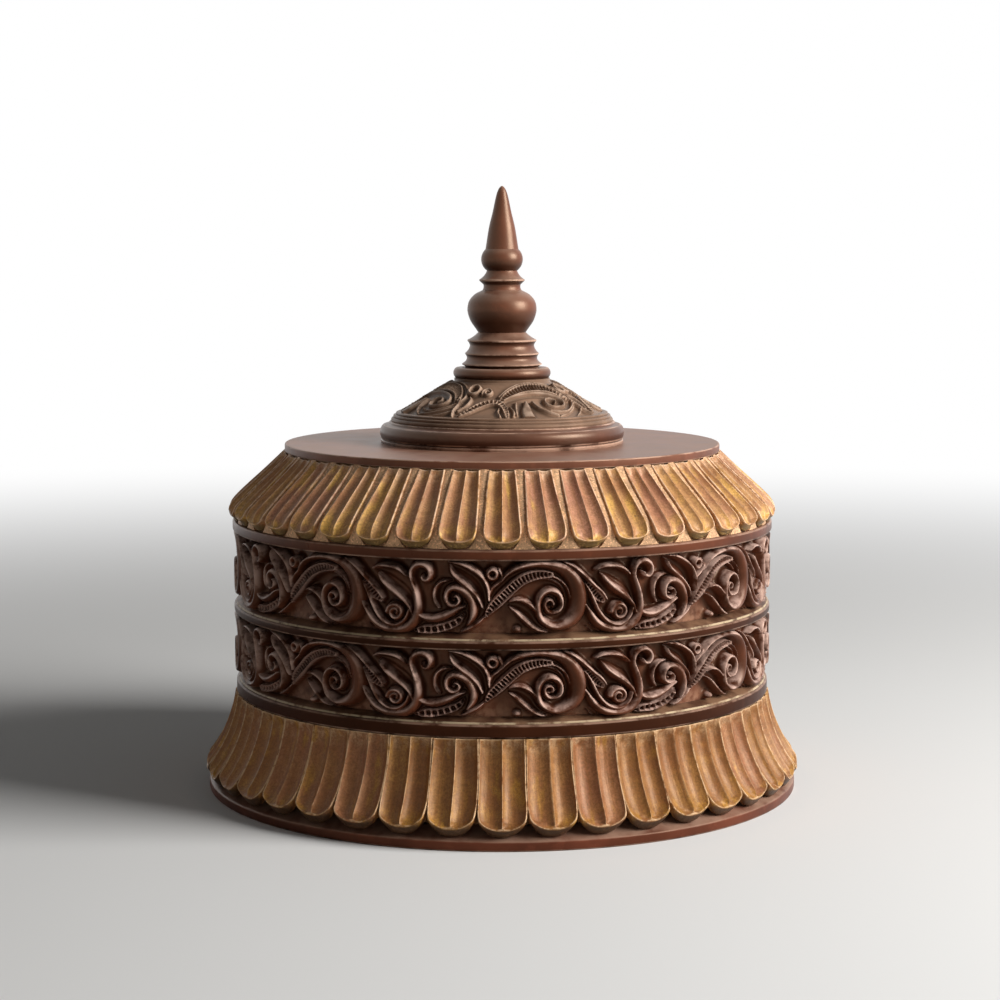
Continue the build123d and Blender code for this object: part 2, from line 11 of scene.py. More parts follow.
import bpy
import numpy as np
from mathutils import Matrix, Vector


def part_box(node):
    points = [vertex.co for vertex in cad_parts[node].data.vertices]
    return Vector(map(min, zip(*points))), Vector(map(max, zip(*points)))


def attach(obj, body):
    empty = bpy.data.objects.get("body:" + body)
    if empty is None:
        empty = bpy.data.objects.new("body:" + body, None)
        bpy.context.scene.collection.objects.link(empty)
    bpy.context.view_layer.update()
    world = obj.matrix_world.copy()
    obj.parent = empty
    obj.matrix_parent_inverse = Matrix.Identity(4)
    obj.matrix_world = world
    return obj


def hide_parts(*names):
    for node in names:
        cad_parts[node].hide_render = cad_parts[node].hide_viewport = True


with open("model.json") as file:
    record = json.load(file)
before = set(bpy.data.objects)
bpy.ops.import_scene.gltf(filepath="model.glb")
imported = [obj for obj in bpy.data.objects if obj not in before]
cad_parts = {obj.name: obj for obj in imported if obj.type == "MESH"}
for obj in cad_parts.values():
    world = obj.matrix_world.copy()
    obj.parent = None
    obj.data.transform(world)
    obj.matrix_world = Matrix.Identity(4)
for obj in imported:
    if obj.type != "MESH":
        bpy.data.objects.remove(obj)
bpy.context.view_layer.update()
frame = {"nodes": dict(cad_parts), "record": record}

MM = 0.001
FRONT = -90.0
rng = np.random.default_rng(7)

# Friezes: eight repeats of one running scroll round the drum. The first starts at the phase. The relief is
# the rise of the highest form over the ground's radius, and the cell is that of the grid it's drawn on.
FRIEZE_REPEATS, FRIEZE_PHASE = 8, -93.2
FRIEZE_SIZE, FRIEZE_CELL = (96.0, 30.8), 0.26
FRIEZE_GROUND, FRIEZE_RELIEF, DRUM_BACK = 117.4, 6.2, 116.0
UPPER_RAIL_INSET = 0.9

# Dome: four repeats of a smaller scroll. Its slope is sunk by the cut to make room for the relief.
DOME_REPEATS, DOME_PHASE = 4, -122.5
DOME_SIZE, DOME_CELL = (56.5, 30.0), 0.24
DOME_CUT, DOME_RELIEF = 1.5, 2.3

# How far round a cell its surroundings go, where a crest is told from a hollow.
CREST_REACH = 1.4

# Petals, and the ground that shows between them. The cusp is where a petal's middle ridge meets its rim.
LID_PETALS, BASE_PETALS = 42, 40
LID_TIP_OUT, SIDE_FILLET, CUSP = 0.9, 0.4, 1.4
PETAL_ROWS, TIP_COLS, PETAL_CELL, PETAL_WALL = 49, 40, 0.4, 4.6
GROUND_ROWS, GROUND_CELL, GROUND_WALL = 9, 0.7, 1.2

# Turned pieces: the sides round each, and the longest step along its outline.
LATHE_SIDES, LATHE_LONGEST = 288, 1.2


def extent(node):
    """Radius, lowest height and highest height of a node that is turned about the axis."""
    low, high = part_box(node)
    return high.x / MM, low.z / MM, high.z / MM


def extent_in_front(node):
    """How far a ring of petals reaches at the front, and its lowest and highest height."""
    low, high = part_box(node)
    return -low.y / MM, low.z / MM, high.z / MM


# Meshes

def link(thing):
    """Puts a new object into the scene."""
    bpy.context.scene.collection.objects.link(thing)
    return thing


def make_piece(name, points, faces, fields, crease):
    """A smooth-shaded mesh object, with named values on its points."""
    mesh = bpy.data.meshes.new(name)
    mesh.from_pydata((np.asarray(points, float) * MM).tolist(), [], faces)
    for field, values in fields.items():
        attribute = mesh.attributes.new(field, "FLOAT", "POINT")
        attribute.data.foreach_set("value", np.asarray(values, np.float32).ravel())
    mesh.shade_smooth()
    mesh.set_sharp_from_angle(angle=math.radians(crease))
    return link(bpy.data.objects.new(name, mesh))


def dress(piece, body, finish, node):
    """Gives a piece its body and its finish, and hides the CAD node that it stands for."""
    material, slot = finish
    piece.data.materials.append(material)
    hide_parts(node)
    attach(piece, body)


def slab(front, back_first, back_last):
    """Points and faces of a closed slab, from a grid of front points and the feet of its end rows."""
    rows, cols = front.shape[:2]
    points = np.vstack([front.reshape(-1, 3), back_first, back_last])
    at = np.arange((rows + 2) * cols).reshape(rows + 2, cols)
    at = at[[*range(rows), rows + 1, rows]]
    after = np.roll(at, -1, 0)
    faces = np.dstack([at[:, :-1], at[:, 1:], after[:, 1:], after[:, :-1]]).reshape(-1, 4).tolist()
    return points, faces + [at[:, 0].tolist(), np.roll(at[::-1, -1], -2).tolist()]


def merged(shells):
    """The points and faces of several shells as one."""
    points, faces, count = [], [], 0
    for shell_points, shell_faces in shells:
        points.append(shell_points)
        faces += [[corner + count for corner in face] for face in shell_faces]
        count += len(shell_points)
    return np.vstack(points), faces


# Curves and outlines

def smooth_line(points, step):
    """Samples of the curve through the points, at about even steps."""
    given = np.array(points, float)
    given = np.vstack([2 * given[0] - given[1], given, 2 * given[-1] - given[-2]])
    samples = []
    for before, start, end, after in zip(given[:-3], given[1:-2], given[2:-1], given[3:]):
        count = max(2, int(np.hypot(*(end - start)[:2]) / step))
        t = np.linspace(0, 1, count, endpoint=False)[:, None]
        slope = end - before
        bend = 2 * before - 5 * start + 4 * end - after
        twist = 3 * start - before - 3 * end + after
        samples.append(start + 0.5 * (slope * t + bend * t**2 + twist * t**3))
    return np.vstack(samples + [given[-2:-1]])


def lengths(line):
    """How far along a line each of its points is."""
    return np.concatenate([[0], np.cumsum(np.hypot(*np.diff(line[:, :2], axis=0).T))])


class Meridian:
    """A line of (radius, height) on a surface about the axis, measured by its length from its start."""

    def __init__(self, points, smooth=True):
        self.line = smooth_line(points, 0.2) if smooth else np.array(points, float)
        self.run = lengths(self.line)
        self.length = self.run[-1]
        way = np.gradient(self.line, self.run, axis=0)
        way /= np.hypot(way[:, 0], way[:, 1])[:, None]
        self.out = np.column_stack([-way[:, 1], way[:, 0]])
        if self.out[:, 0].mean() < 0:
            self.out = -self.out

    def at(self, run, lift=0.0):
        """Radius and height at a length along the line, lifted off the surface."""
        radius, height, out_r, out_z = (np.interp(run, self.run, values) for values in
                                        (*self.line.T, *self.out.T))
        return radius + out_r * lift, height + out_z * lift

    def bend(self, run, azimuth, lift):
        """Points round the axis at azimuths in degrees, lifted off the surface."""
        radius, height = self.at(run, lift)
        angle = np.radians(azimuth)
        return np.dstack([radius * np.cos(angle), radius * np.sin(angle), height])

    def wrap(self, run, azimuth, lift, wall):
        """Points and faces of a closed slab on the surface, with the thickness of a wall behind it."""
        run = run + 0 * azimuth
        feet = [self.bend(run[row], azimuth[row], -wall)[0] for row in (0, -1)]
        return slab(self.bend(run, azimuth, lift), *feet)


def rounded(corners):
    """A closed outline of (radius, height) with each corner (radius, height, fillet) rounded."""
    outline = []
    for index, (x, z, fillet) in enumerate(corners):
        corner = np.array([x, z], float)
        if not fillet:
            outline.append(corner)
            continue
        neighbours = corners[index - 1], corners[(index + 1) % len(corners)]
        ways = [np.array(neighbour[:2], float) - corner for neighbour in neighbours]
        before, after = (way / np.hypot(*way) for way in ways)
        reach = fillet / math.tan(math.acos(np.clip(before @ after, -1, 1)) / 2)
        start, end = corner + before * reach, corner + after * reach
        for t in np.linspace(0, 1, 5):
            outline.append((1 - t) ** 2 * start + 2 * t * (1 - t) * corner + t**2 * end)
    return outline


def even_outline(outline):
    """The closed outline with its long sides divided, except on the axis."""
    result = []
    for start, end in zip(outline, outline[1:] + outline[:1]):
        start, end = np.array(start, float), np.array(end, float)
        on_axis = start[0] == 0 and end[0] == 0
        count = 1 if on_axis else max(1, math.ceil(np.hypot(*(end - start)) / LATHE_LONGEST))
        result += [start + (end - start) * share for share in np.arange(count) / count]
    return result


def lathe(name, outline, wobble=0.0, crease=40):
    """A closed turned piece. Its outline runs so that the solid lies on its left.
    Convex edges carry the value edge = 1. Wobble is how far the handwork lets it run out of round."""
    profile = np.array(even_outline(outline))
    before, after = profile - np.roll(profile, 1, 0), np.roll(profile, -1, 0) - profile
    cross = before[:, 0] * after[:, 1] - before[:, 1] * after[:, 0]
    turn = np.degrees(np.arctan2(cross, (before * after).sum(1)))
    blunt, sharp = 11, 25
    edge = np.clip((turn - blunt) / (sharp - blunt), 0, 1)
    angles = np.arange(LATHE_SIDES) * 2 * math.pi / LATHE_SIDES
    runout = sum(np.sin(waves * angles + rng.uniform(0, 2 * math.pi)) / waves for waves in (2, 3, 5, 9, 14))
    runout = wobble * (runout / np.abs(runout).max() - 1) / 2
    points, rings, edges = [], [], []
    for (radius, height), value in zip(profile, edge):
        count, reach, value = (LATHE_SIDES, radius + runout, value) if radius > 0 else (1, np.zeros(1), 0)
        rings.append([len(points) + index % count for index in range(LATHE_SIDES)])
        ring = zip(reach * np.cos(angles), reach * np.sin(angles), np.full(LATHE_SIDES, height))
        points += list(ring)[:count]
        edges += [value] * count
    faces = []
    for lower, upper in zip(rings, rings[1:] + rings[:1]):
        if lower[0] == lower[1] and upper[0] == upper[1]:
            continue
        for index in range(LATHE_SIDES):
            following = (index + 1) % LATHE_SIDES
            face = [lower[index], lower[following], upper[following], upper[index]]
            faces.append(list(dict.fromkeys(face)))
    return make_piece(name, points, faces, {"edge": edges}, crease)


# Carving

def hump(off):
    """1 in the middle, falling to 0 at a distance of 1."""
    return np.clip(1 - off**2, 0, 1)


class Carving:
    """The heights of one repeat of a carved band, over a grid of length by height.
    The right side of the repeat joins the left side of the next."""

    def __init__(self, length, height, cell):
        self.length, self.height = length, height
        self.cols, self.rows = round(length / cell), round(height / cell) + 1
        self.step_x, self.step_y = length / self.cols, height / (self.rows - 1)
        self.lift, self.pale = np.zeros((2, self.rows, self.cols))

    def near(self, points):
        """Draws a line through points of (x, y, half width) in tenths of a millimetre. For each cell: its
        distance from the line in half widths; the same, negative on the right; and how far along it is."""
        line = smooth_line(np.array(points) / 10, self.step_x)
        found = np.zeros((3, self.rows, self.cols))
        found[0] = 9
        way = np.gradient(line[:, :2], axis=0)
        for (x, y, half), (way_x, way_y), along in zip(line, way, lengths(line)):
            half = max(half, self.step_x)
            cols = np.arange(math.floor((x - half) / self.step_x), math.ceil((x + half) / self.step_x) + 1)
            low = max(0, math.floor((y - half) / self.step_y))
            rows = np.arange(low, min(self.rows, math.ceil((y + half) / self.step_y) + 1))
            if not len(rows):
                continue
            dx, dy = np.meshgrid(cols * self.step_x - x, rows * self.step_y - y)
            reach = np.hypot(dx, dy) / half
            side = np.sign(way_x * dy - way_y * dx) * reach
            cells = np.ix_(range(3), rows, cols % self.cols)
            found[cells] = np.where(reach < found[cells][0], [reach, side, along + 0 * reach], found[cells])
        return found

    def put(self, distance, lift, pale=0.0):
        """Raises the cells inside a form to its height. Pale marks rungs and their rims."""
        raised = (distance < 1) & (lift > self.lift)
        self.lift, self.pale = np.where(raised, lift, self.lift), np.where(raised, pale, self.pale)

    def rope(self, points, top, foot=0.4, flat=0.5):
        """A round-topped stem. A lower flat makes its top flatter."""
        distance, _, _ = self.near(points)
        self.put(distance, foot + (top - foot) * hump(distance) ** flat)

    def broad(self, points, top, foot, lean):
        """A broad band whose crest lies lean half widths to the left of its line."""
        distance, side, _ = self.near(points)
        off = np.where(side > lean, (side - lean) / (1 - lean), (lean - side) / (1 + lean))
        self.put(distance, foot + (top - foot) * hump(off) ** 0.6)

    def leaf(self, points, low, high, hand=1):
        """A scooped leaf with a full ridge near one edge: near its right edge where hand is 1."""
        distance, side, _ = self.near(points)
        off = hand * side + 0.4
        rise = np.where(off < 0, 1 - 1.3 * off**2, np.exp(-(off / 0.55) ** 2))
        shoulder = np.clip((1 - distance) / 0.25, 0, 1) ** 0.5
        self.put(distance, (low + (high - low) * rise) * shoulder)

    def ladder(self, points, pitch, rung, rim=3.5, top=2.9, floor=1.0, reach=0.8):
        """A band of two thin rims with rungs across it."""
        distance, _, along = self.near(points)
        rims = hump((distance - reach) / (1 - reach)) ** 0.5 * (rim - floor)
        off = np.abs((along / pitch) % 1 - 0.5) * pitch / (rung / 2)
        rungs = hump(off) ** 0.5 * (top - floor)
        rise = np.maximum(rims, rungs)
        self.put(distance, floor + rise, np.clip(rise / (top - floor), 0, 1))

    def softened(self, lift, reach):
        """The heights blurred over a reach."""
        cells = max(1, round(reach / self.step_x))
        count = 2 * cells + 1
        for _ in range(2):
            lift = sum(np.roll(lift, shift, 1) for shift in range(-cells, cells + 1)) / count
            padded = np.pad(lift, ((cells, cells), (0, 0)), mode="edge")
            lift = sum(padded[start:start + self.rows] for start in range(count)) / count
        return lift

    def finish(self, fillet, share):
        """Fills the feet of the forms with a soft slope and takes off the sharpest edges."""
        self.lift = np.maximum(self.lift, share * self.softened(self.lift, fillet))
        self.lift = (self.lift + self.softened(self.lift, self.step_x)) / 2

    def crest(self, reach):
        """How far each cell stands above (or, negative, below) its surroundings."""
        return self.lift - self.softened(self.lift, reach)


def coil(x, y, start_radius, end_radius, turns, start, start_half, end_half, hand=1):
    """Points of a volute that winds inwards round (x, y). Hand is 1 where it winds anticlockwise."""
    share = np.linspace(0, 1, max(8, int(16 * turns)) + 1)
    angle = np.radians(start) + hand * 2 * np.pi * turns * share
    radius = start_radius + (end_radius - start_radius) * share
    half = start_half + (end_half - start_half) * share
    return np.column_stack([x + radius * np.cos(angle), y + radius * np.sin(angle), half])


def draw_frieze(carving):
    """One repeat of the running scroll, in tenths of a millimetre on the face of the upper frieze."""
    rope, leaf, broad, ladder = carving.rope, carving.leaf, carving.broad, carving.ladder
    # The broad scroll, the hollow that it curls round, and its volute.
    leaf([(357, 176, 20), (357, 136, 24), (347, 92, 27), (320, 61, 24), (283, 49, 20),
        (250, 70, 15)], 0.5, 2.6, -1)
    broad([(62, 218, 3), (90, 253, 9), (130, 276, 13), (177, 288, 15), (230, 292, 17), (283, 285, 20),
        (330, 266, 27), (367, 229, 35), (387, 183, 40), (391, 137, 41), (383, 93, 39), (357, 56, 32),
        (322, 37, 24), (287, 32, 17), (257, 42, 16), (231, 65, 15), (219, 100, 15), (219, 136, 15),
        (231, 163, 15), (253, 179, 15), (277, 181, 15), (301, 168, 14), (314, 144, 13), (314, 116, 12),
        (301, 97, 10), (279, 90, 8)], 3.8, 0.7, 0.15)
    rope([(290, 92, 9), (267, 90, 10), (250, 105, 10), (245, 125, 9), (255, 141, 9), (273, 141, 8),
        (282, 127, 7), (277, 114, 5)], 3.3, 0.9)
    rope([(262, 115, 7), (266, 112, 7)], 2.8, 0.9)
    # The ladder inside the scroll, and the ribs that carry it on round.
    ladder([(-1, 73, 4), (20, 106, 17), (45, 133, 23), (73, 160, 24), (102, 189, 24), (134, 216, 23),
        (167, 234, 22), (200, 245, 21), (235, 249, 18), (273, 247, 11)], 1.6, 0.75)
    rope([(267, 242, 5), (297, 232, 5), (325, 212, 5), (342, 187, 5), (353, 150, 3)], 3.0, 0.8)
    rope([(243, 232, 3), (280, 223, 5), (310, 204, 5), (327, 177, 4), (334, 141, 3)], 2.2, 0.8)
    # The pair of leaves under it, with a bud.
    rope([(98, 136, 3), (125, 146, 8), (160, 140, 11), (189, 122, 10), (210, 97, 7), (223, 75, 4)], 3.4)
    leaf([(97, 116, 3), (127, 100, 13), (158, 75, 21), (193, 44, 22), (223, 23, 16),
        (260, 8, 3)], 0.5, 3.3)
    rope([(127, 20, 17), (133, 20, 17)], 2.7, 0.3)
    # The second stem, its short ladder and the loop round the second volute.
    rope([(327, 300, 3), (363, 282, 8), (397, 257, 11), (430, 226, 11), (463, 194, 10), (494, 166, 9),
        (515, 137, 5)], 3.6, 0.8)
    rope([(420, 204, 3), (439, 171, 7), (457, 134, 9), (475, 96, 10), (501, 59, 12), (533, 36, 12),
        (569, 28, 12), (599, 39, 11), (621, 62, 10), (633, 92, 7)], 3.6, 0.7)
    ladder([(426, 208, 6), (451, 178, 19), (475, 152, 19), (500, 130, 11)], 1.4, 0.65, 2.9, 2.6)
    rope([(422, 116, 5), (445, 77, 13), (478, 37, 18), (527, 12, 19), (577, 7, 20), (623, 20, 22),
        (657, 52, 23), (671, 95, 21), (670, 141, 16), (659, 183, 12), (645, 220, 9),
        (639, 248, 8)], 3.7, 0.8)
    rope([(445, 34, 3), (470, 11, 3), (497, -5, 3)], 1.7, 0.3)
    rope([(431, 23, 3), (453, 4, 3), (470, -7, 3)], 1.5, 0.3)
    # The second volute, and the leaf over it.
    rope(coil(571, 81, 37, 9, 1.6, 175, 14, 7, -1), 3.5, 0.9)
    rope([(570, 80, 7), (574, 78, 7)], 2.8, 0.9)
    rope([(467, 262, 5), (503, 275, 9), (557, 273, 11), (595, 259, 10), (623, 235, 5)], 3.6)
    leaf([(495, 244, 5), (522, 219, 21), (554, 194, 29), (590, 169, 30), (622, 141, 25), (645, 108, 17),
        (651, 75, 6)], 0.6, 3.6)
    # The loop's stem curls over at its head.
    rope([(640, 236, 9), (645, 263, 13), (666, 284, 16), (696, 287, 17), (720, 270, 16), (726, 243, 14),
        (712, 223, 10), (694, 226, 8), (690, 240, 5)], 3.8, 0.8)
    # The shallow bowl band with its ladder.
    rope([(673, 76, 6), (703, 64, 14), (737, 60, 18), (777, 70, 18), (817, 89, 15), (849, 108, 10),
        (870, 116, 5)], 3.3, 0.6, 0.4)
    ladder([(659, 8, 7), (697, 15, 16), (740, 17, 17), (780, 26, 17), (817, 40, 17), (845, 56, 14),
        (865, 80, 7)], 2.8, 1.13, 3.4, 2.7)
    # The third volute, cupped on its left, and the leaf above it.
    rope([(811, 223, 4), (777, 218, 7), (751, 197, 9), (741, 165, 9), (746, 131, 7),
        (762, 105, 4)], 3.0, 0.5)
    broad([(883, 39, 5), (905, 73, 15), (909, 115, 21), (894, 156, 23), (865, 184, 22), (831, 194, 18),
        (805, 184, 15), (793, 159, 13), (797, 133, 11), (817, 118, 11), (841, 124, 9), (850, 143, 8),
        (839, 159, 7), (826, 155, 5)], 3.8, 0.8, 0.1)
    rope([(822, 141, 7), (826, 140, 7)], 2.8, 0.9)
    rope([(802, 303, 4), (857, 294, 9), (905, 272, 12), (945, 241, 11), (967, 200, 9),
        (974, 141, 5)], 3.8, 0.5)
    leaf([(809, 288, 4), (831, 256, 19), (865, 229, 27), (902, 200, 28), (934, 160, 21),
        (949, 111, 5)], 0.6, 3.6)
    # The bud ring and the shoots at the ladder's foot.
    rope(coil(27, 251, 19, 19, 1, 0, 11, 11), 3.4, 0.5)
    rope([(54, 272, 5), (67, 242, 7), (54, 216, 8), (27, 193, 7), (13, 158, 4)], 3.0, 0.5)
    rope([(855, 10, 5), (890, 24, 12), (926, 46, 11), (954, 72, 5)], 2.6, 0.3)
    carving.finish(1.0, 0.62)


def handwork(azimuth, height, size):
    """Small smooth shifts that keep the repeats from being alike."""
    angle = np.radians(azimuth)
    shift = np.zeros(np.broadcast(azimuth, height).shape)
    for waves in (3, 7, 13, 22):
        phase, climb = rng.uniform(0, 2 * math.pi), rng.uniform(-0.25, 0.25)
        shift = shift + np.sin(waves * angle + phase + climb * height) / math.sqrt(waves)
    return size * shift / 1.5


def carved(draw, size, cell, relief):
    """A carving as a function draws it, with its highest form raised to the relief."""
    carving = Carving(*size, cell)
    draw(carving)
    carving.lift *= relief / carving.lift.max()
    return carving


def carved_pieces(name, carving, meridian, repeats, phase, dressing, shift, thickness):
    """One closed piece for each repeat of a carving, bent round the axis along a meridian."""
    count = repeats * carving.cols
    azimuth, share = np.meshgrid(phase + np.arange(count + 1) * 360 / count, np.linspace(0, 1, carving.rows))
    y = share * carving.height
    x = (azimuth - phase) / 360 * repeats * carving.length + handwork(azimuth, y, shift)
    y = y + handwork(azimuth, y, shift)
    depth = 1 + handwork(azimuth, share * 4, 0.06)
    col, row = x / carving.step_x, np.clip(y / carving.step_y, 0, carving.rows - 1.001)
    left, below = np.floor(col).astype(int), np.floor(row).astype(int)
    past_left, past_below = col - left, row - below
    left, right = left % carving.cols, (left + 1) % carving.cols

    def sample(field):
        """The field at the shifted places, between its cells."""
        low, high = (field[near, left] * (1 - past_left) + field[near, right] * past_left
                     for near in (below, below + 1))
        return low * (1 - past_below) + high * past_below

    lift = sample(carving.lift)
    top = lift.max()
    crest = sample(carving.crest(CREST_REACH))
    values = {"lift": lift / top, "crest": crest, "pale": sample(carving.pale), "rise": share}
    raised = np.minimum(lift * depth, top)
    for index in range(repeats):
        cols = np.s_[:, index * carving.cols:(index + 1) * carving.cols + 1]
        points, faces = meridian.wrap(share[cols] * meridian.length, azimuth[cols], raised[cols], thickness)
        spare = np.zeros(2 * (carving.cols + 1))
        fields = {field: np.append(grid[cols].ravel(), spare) for field, grid in values.items()}
        dress(make_piece(f"{name}_{index + 1}", points, faces, fields, crease=75), *dressing)


def draw_dome(carving):
    """One repeat of the dome's smaller scroll, in tenths of a millimetre up its slope."""
    rope, broad, ladder = carving.rope, carving.broad, carving.ladder
    ladder([(196, 129, 6), (212, 164, 16), (248, 200, 25), (298, 227, 30), (353, 240, 32), (416, 242, 32),
        (473, 232, 30), (514, 207, 25), (539, 172, 18), (549, 133, 7)], 1.9, 0.95, 1.9, 1.7, 0.1, 0.85)
    rope([(188, 180, 3), (235, 237, 4), (306, 273, 4), (400, 285, 4), (486, 276, 4), (549, 240, 4),
        (579, 184, 4), (566, 125, 4), (518, 76, 4), (455, 46, 4), (400, 63, 3)], 1.6, 0.3)
    broad([(207, 148, 3), (275, 182, 5), (361, 199, 7), (439, 193, 8.5), (490, 168, 9), (506, 129, 9),
        (478, 90, 8.5), (431, 84, 8.5), (405, 112, 8), (414, 146, 7.5), (443, 155, 6), (463, 135, 6),
        (451, 116, 5)], 1.8, 0.3, 0.1)
    rope([(312, 140, 4), (306, 98, 15), (298, 51, 22), (298, 0, 23)], 1.6, 0.3, 0.25)
    rope([(341, 137, 4), (353, 90, 8), (384, 43, 8), (416, 16, 4)], 1.7, 0.3)
    rope([(584, 129, 3), (541, 82, 4), (486, 43, 4), (424, 12, 3)], 1.2, 0.3)
    rope([(596, 90, 3), (549, 43, 4), (502, 8, 3)], 1.2, 0.3)
    ladder([(45, 18, 5), (71, 55, 13), (102, 98, 18), (141, 129, 19), (180, 133, 17), (207, 105, 14),
        (218, 59, 11), (221, 12, 6)], 1.8, 0.9, 1.7, 1.5, 0.15)
    rope([(192, 90, 3), (188, 55, 4), (196, 20, 4)], 1.3, 0.3)
    rope([(235, 98, 3), (247, 59, 5), (243, 12, 4)], 1.4, 0.3)
    rope([(267, 137, 3), (260, 90, 5), (257, 27, 4)], 1.4, 0.3)
    rope([(-4, 160, 3), (9, 113, 6), (9, 59, 6), (22, 8, 4)], 1.7, 0.3)
    rope([(43, 176, 3), (56, 145, 6), (51, 98, 6), (30, 51, 4)], 1.7, 0.3)
    rope(coil(43, 230, 33, 33, 1, 0, 9, 9), 1.9, 0.4)
    rope(coil(125, 215, 30, 9, 1.4, 200, 8, 5, -1), 1.6, 0.3)
    carving.finish(0.45, 0.35)


# Turned outlines

def bowed(start, end, sagitta, steps=12):
    """Points of the arc from start to end that bows to the left of its chord by the sagitta."""
    start, end = np.array(start, float), np.array(end, float)
    chord = end - start
    length = np.hypot(*chord)
    left = np.array([-chord[1], chord[0]]) / length
    radius = (length**2 / 4 + sagitta**2) / (2 * abs(sagitta))
    share = np.linspace(0, 1, steps)[:, None]
    rise = np.sqrt(radius**2 - ((share - 0.5) * length) ** 2) - radius + abs(sagitta)
    return list(start + chord * share + math.copysign(1, sagitta) * rise * left)


def bead(outline, radius, height, end_radius, steps=16):
    """Adds a turned bead to an outline that ends at the bead's foot."""
    start = np.array(outline[-1], float)
    middle, end = np.array([radius, start[1] + height / 2]), np.array([end_radius, start[1] + height])
    sides = 2 * np.array([middle - start, end - start])
    centre = np.linalg.solve(sides, [middle @ middle - start @ start, end @ end - start @ start])
    reach = np.hypot(*(start - centre))
    first, last = (math.atan2(point[1] - centre[1], point[0] - centre[0]) for point in (start, end))
    for angle in np.linspace(first, last, steps)[1:]:
        outline.append(centre + reach * np.array([math.cos(angle), math.sin(angle)]))


def lipped_ring(outline, radius, height, end_radius):
    """Adds a ring with a sharp lip low down, an undercut below it and a soft slope above it."""
    start, low = outline[-1]
    lip = low + height * 0.42
    outline += bowed((start, low), (radius, lip - 0.4), 0.25, 6)[1:]
    outline.append((radius, lip))
    outline += bowed((radius - 0.3, lip + 0.3), (end_radius, low + height), 0.3, 8)
    outline[-1] = (end_radius, low + height)


def bore_radius():
    """Radius of the hole for the finial's dowel."""
    return extent("finial_dowel")[0] + 0.1


def bored(outline):
    """The outline of a piece on the lid's axis, closed along the dowel's hole."""
    hole = bore_radius()
    return [(hole, outline[0][1]), *outline, (hole, outline[-1][1])]


# Finishes

WARM = (1.0, 0.72, 0.5)
SLOT_COLOURS = {slot["slot"]: slot["base_color"] for slot in frame["record"]["materials"]}


def shade(colour, strength):
    """The colour made lighter or darker."""
    return tuple(channel * strength for channel in colour)


class Nodes:
    """Short calls that make and link the nodes of one tree."""

    def __init__(self, tree):
        self.tree = tree

    def add(self, kind, inputs, **settings):
        """A new node, with its inputs set or linked."""
        node = self.tree.nodes.new("ShaderNode" + kind)
        for key, value in settings.items():
            setattr(node, key, value)
        for key, value in inputs.items():
            self.give(node.inputs[key], value)
        return node

    def give(self, target, value):
        """Sets or links one input."""
        if isinstance(value, bpy.types.NodeSocket):
            self.tree.links.new(value, target)
        elif target.type == "RGBA":
            target.default_value = (*value, 1)
        else:
            target.default_value = value

    def calc(self, operation, first, second=0.0):
        return self.add("Math", {0: first, 1: second}, operation=operation).outputs[0]

    def seen_directly(self):
        """1 for rays from the camera and those that gloss or glass pass on, and 0 for light."""
        ray = self.add("LightPath", {}).outputs
        passed_on = self.calc("MAXIMUM", ray["Is Glossy Ray"], ray["Is Transmission Ray"])
        return self.calc("MAXIMUM", ray["Is Camera Ray"], passed_on)

    def show(self, output, share, first, second):
        """Links the output to the first shader, and to the second by its share."""
        blend = self.add("MixShader", {0: share, 1: first.outputs[0], 2: second.outputs[0]})
        self.give(self.tree.nodes[output].inputs["Surface"], blend.outputs[0])


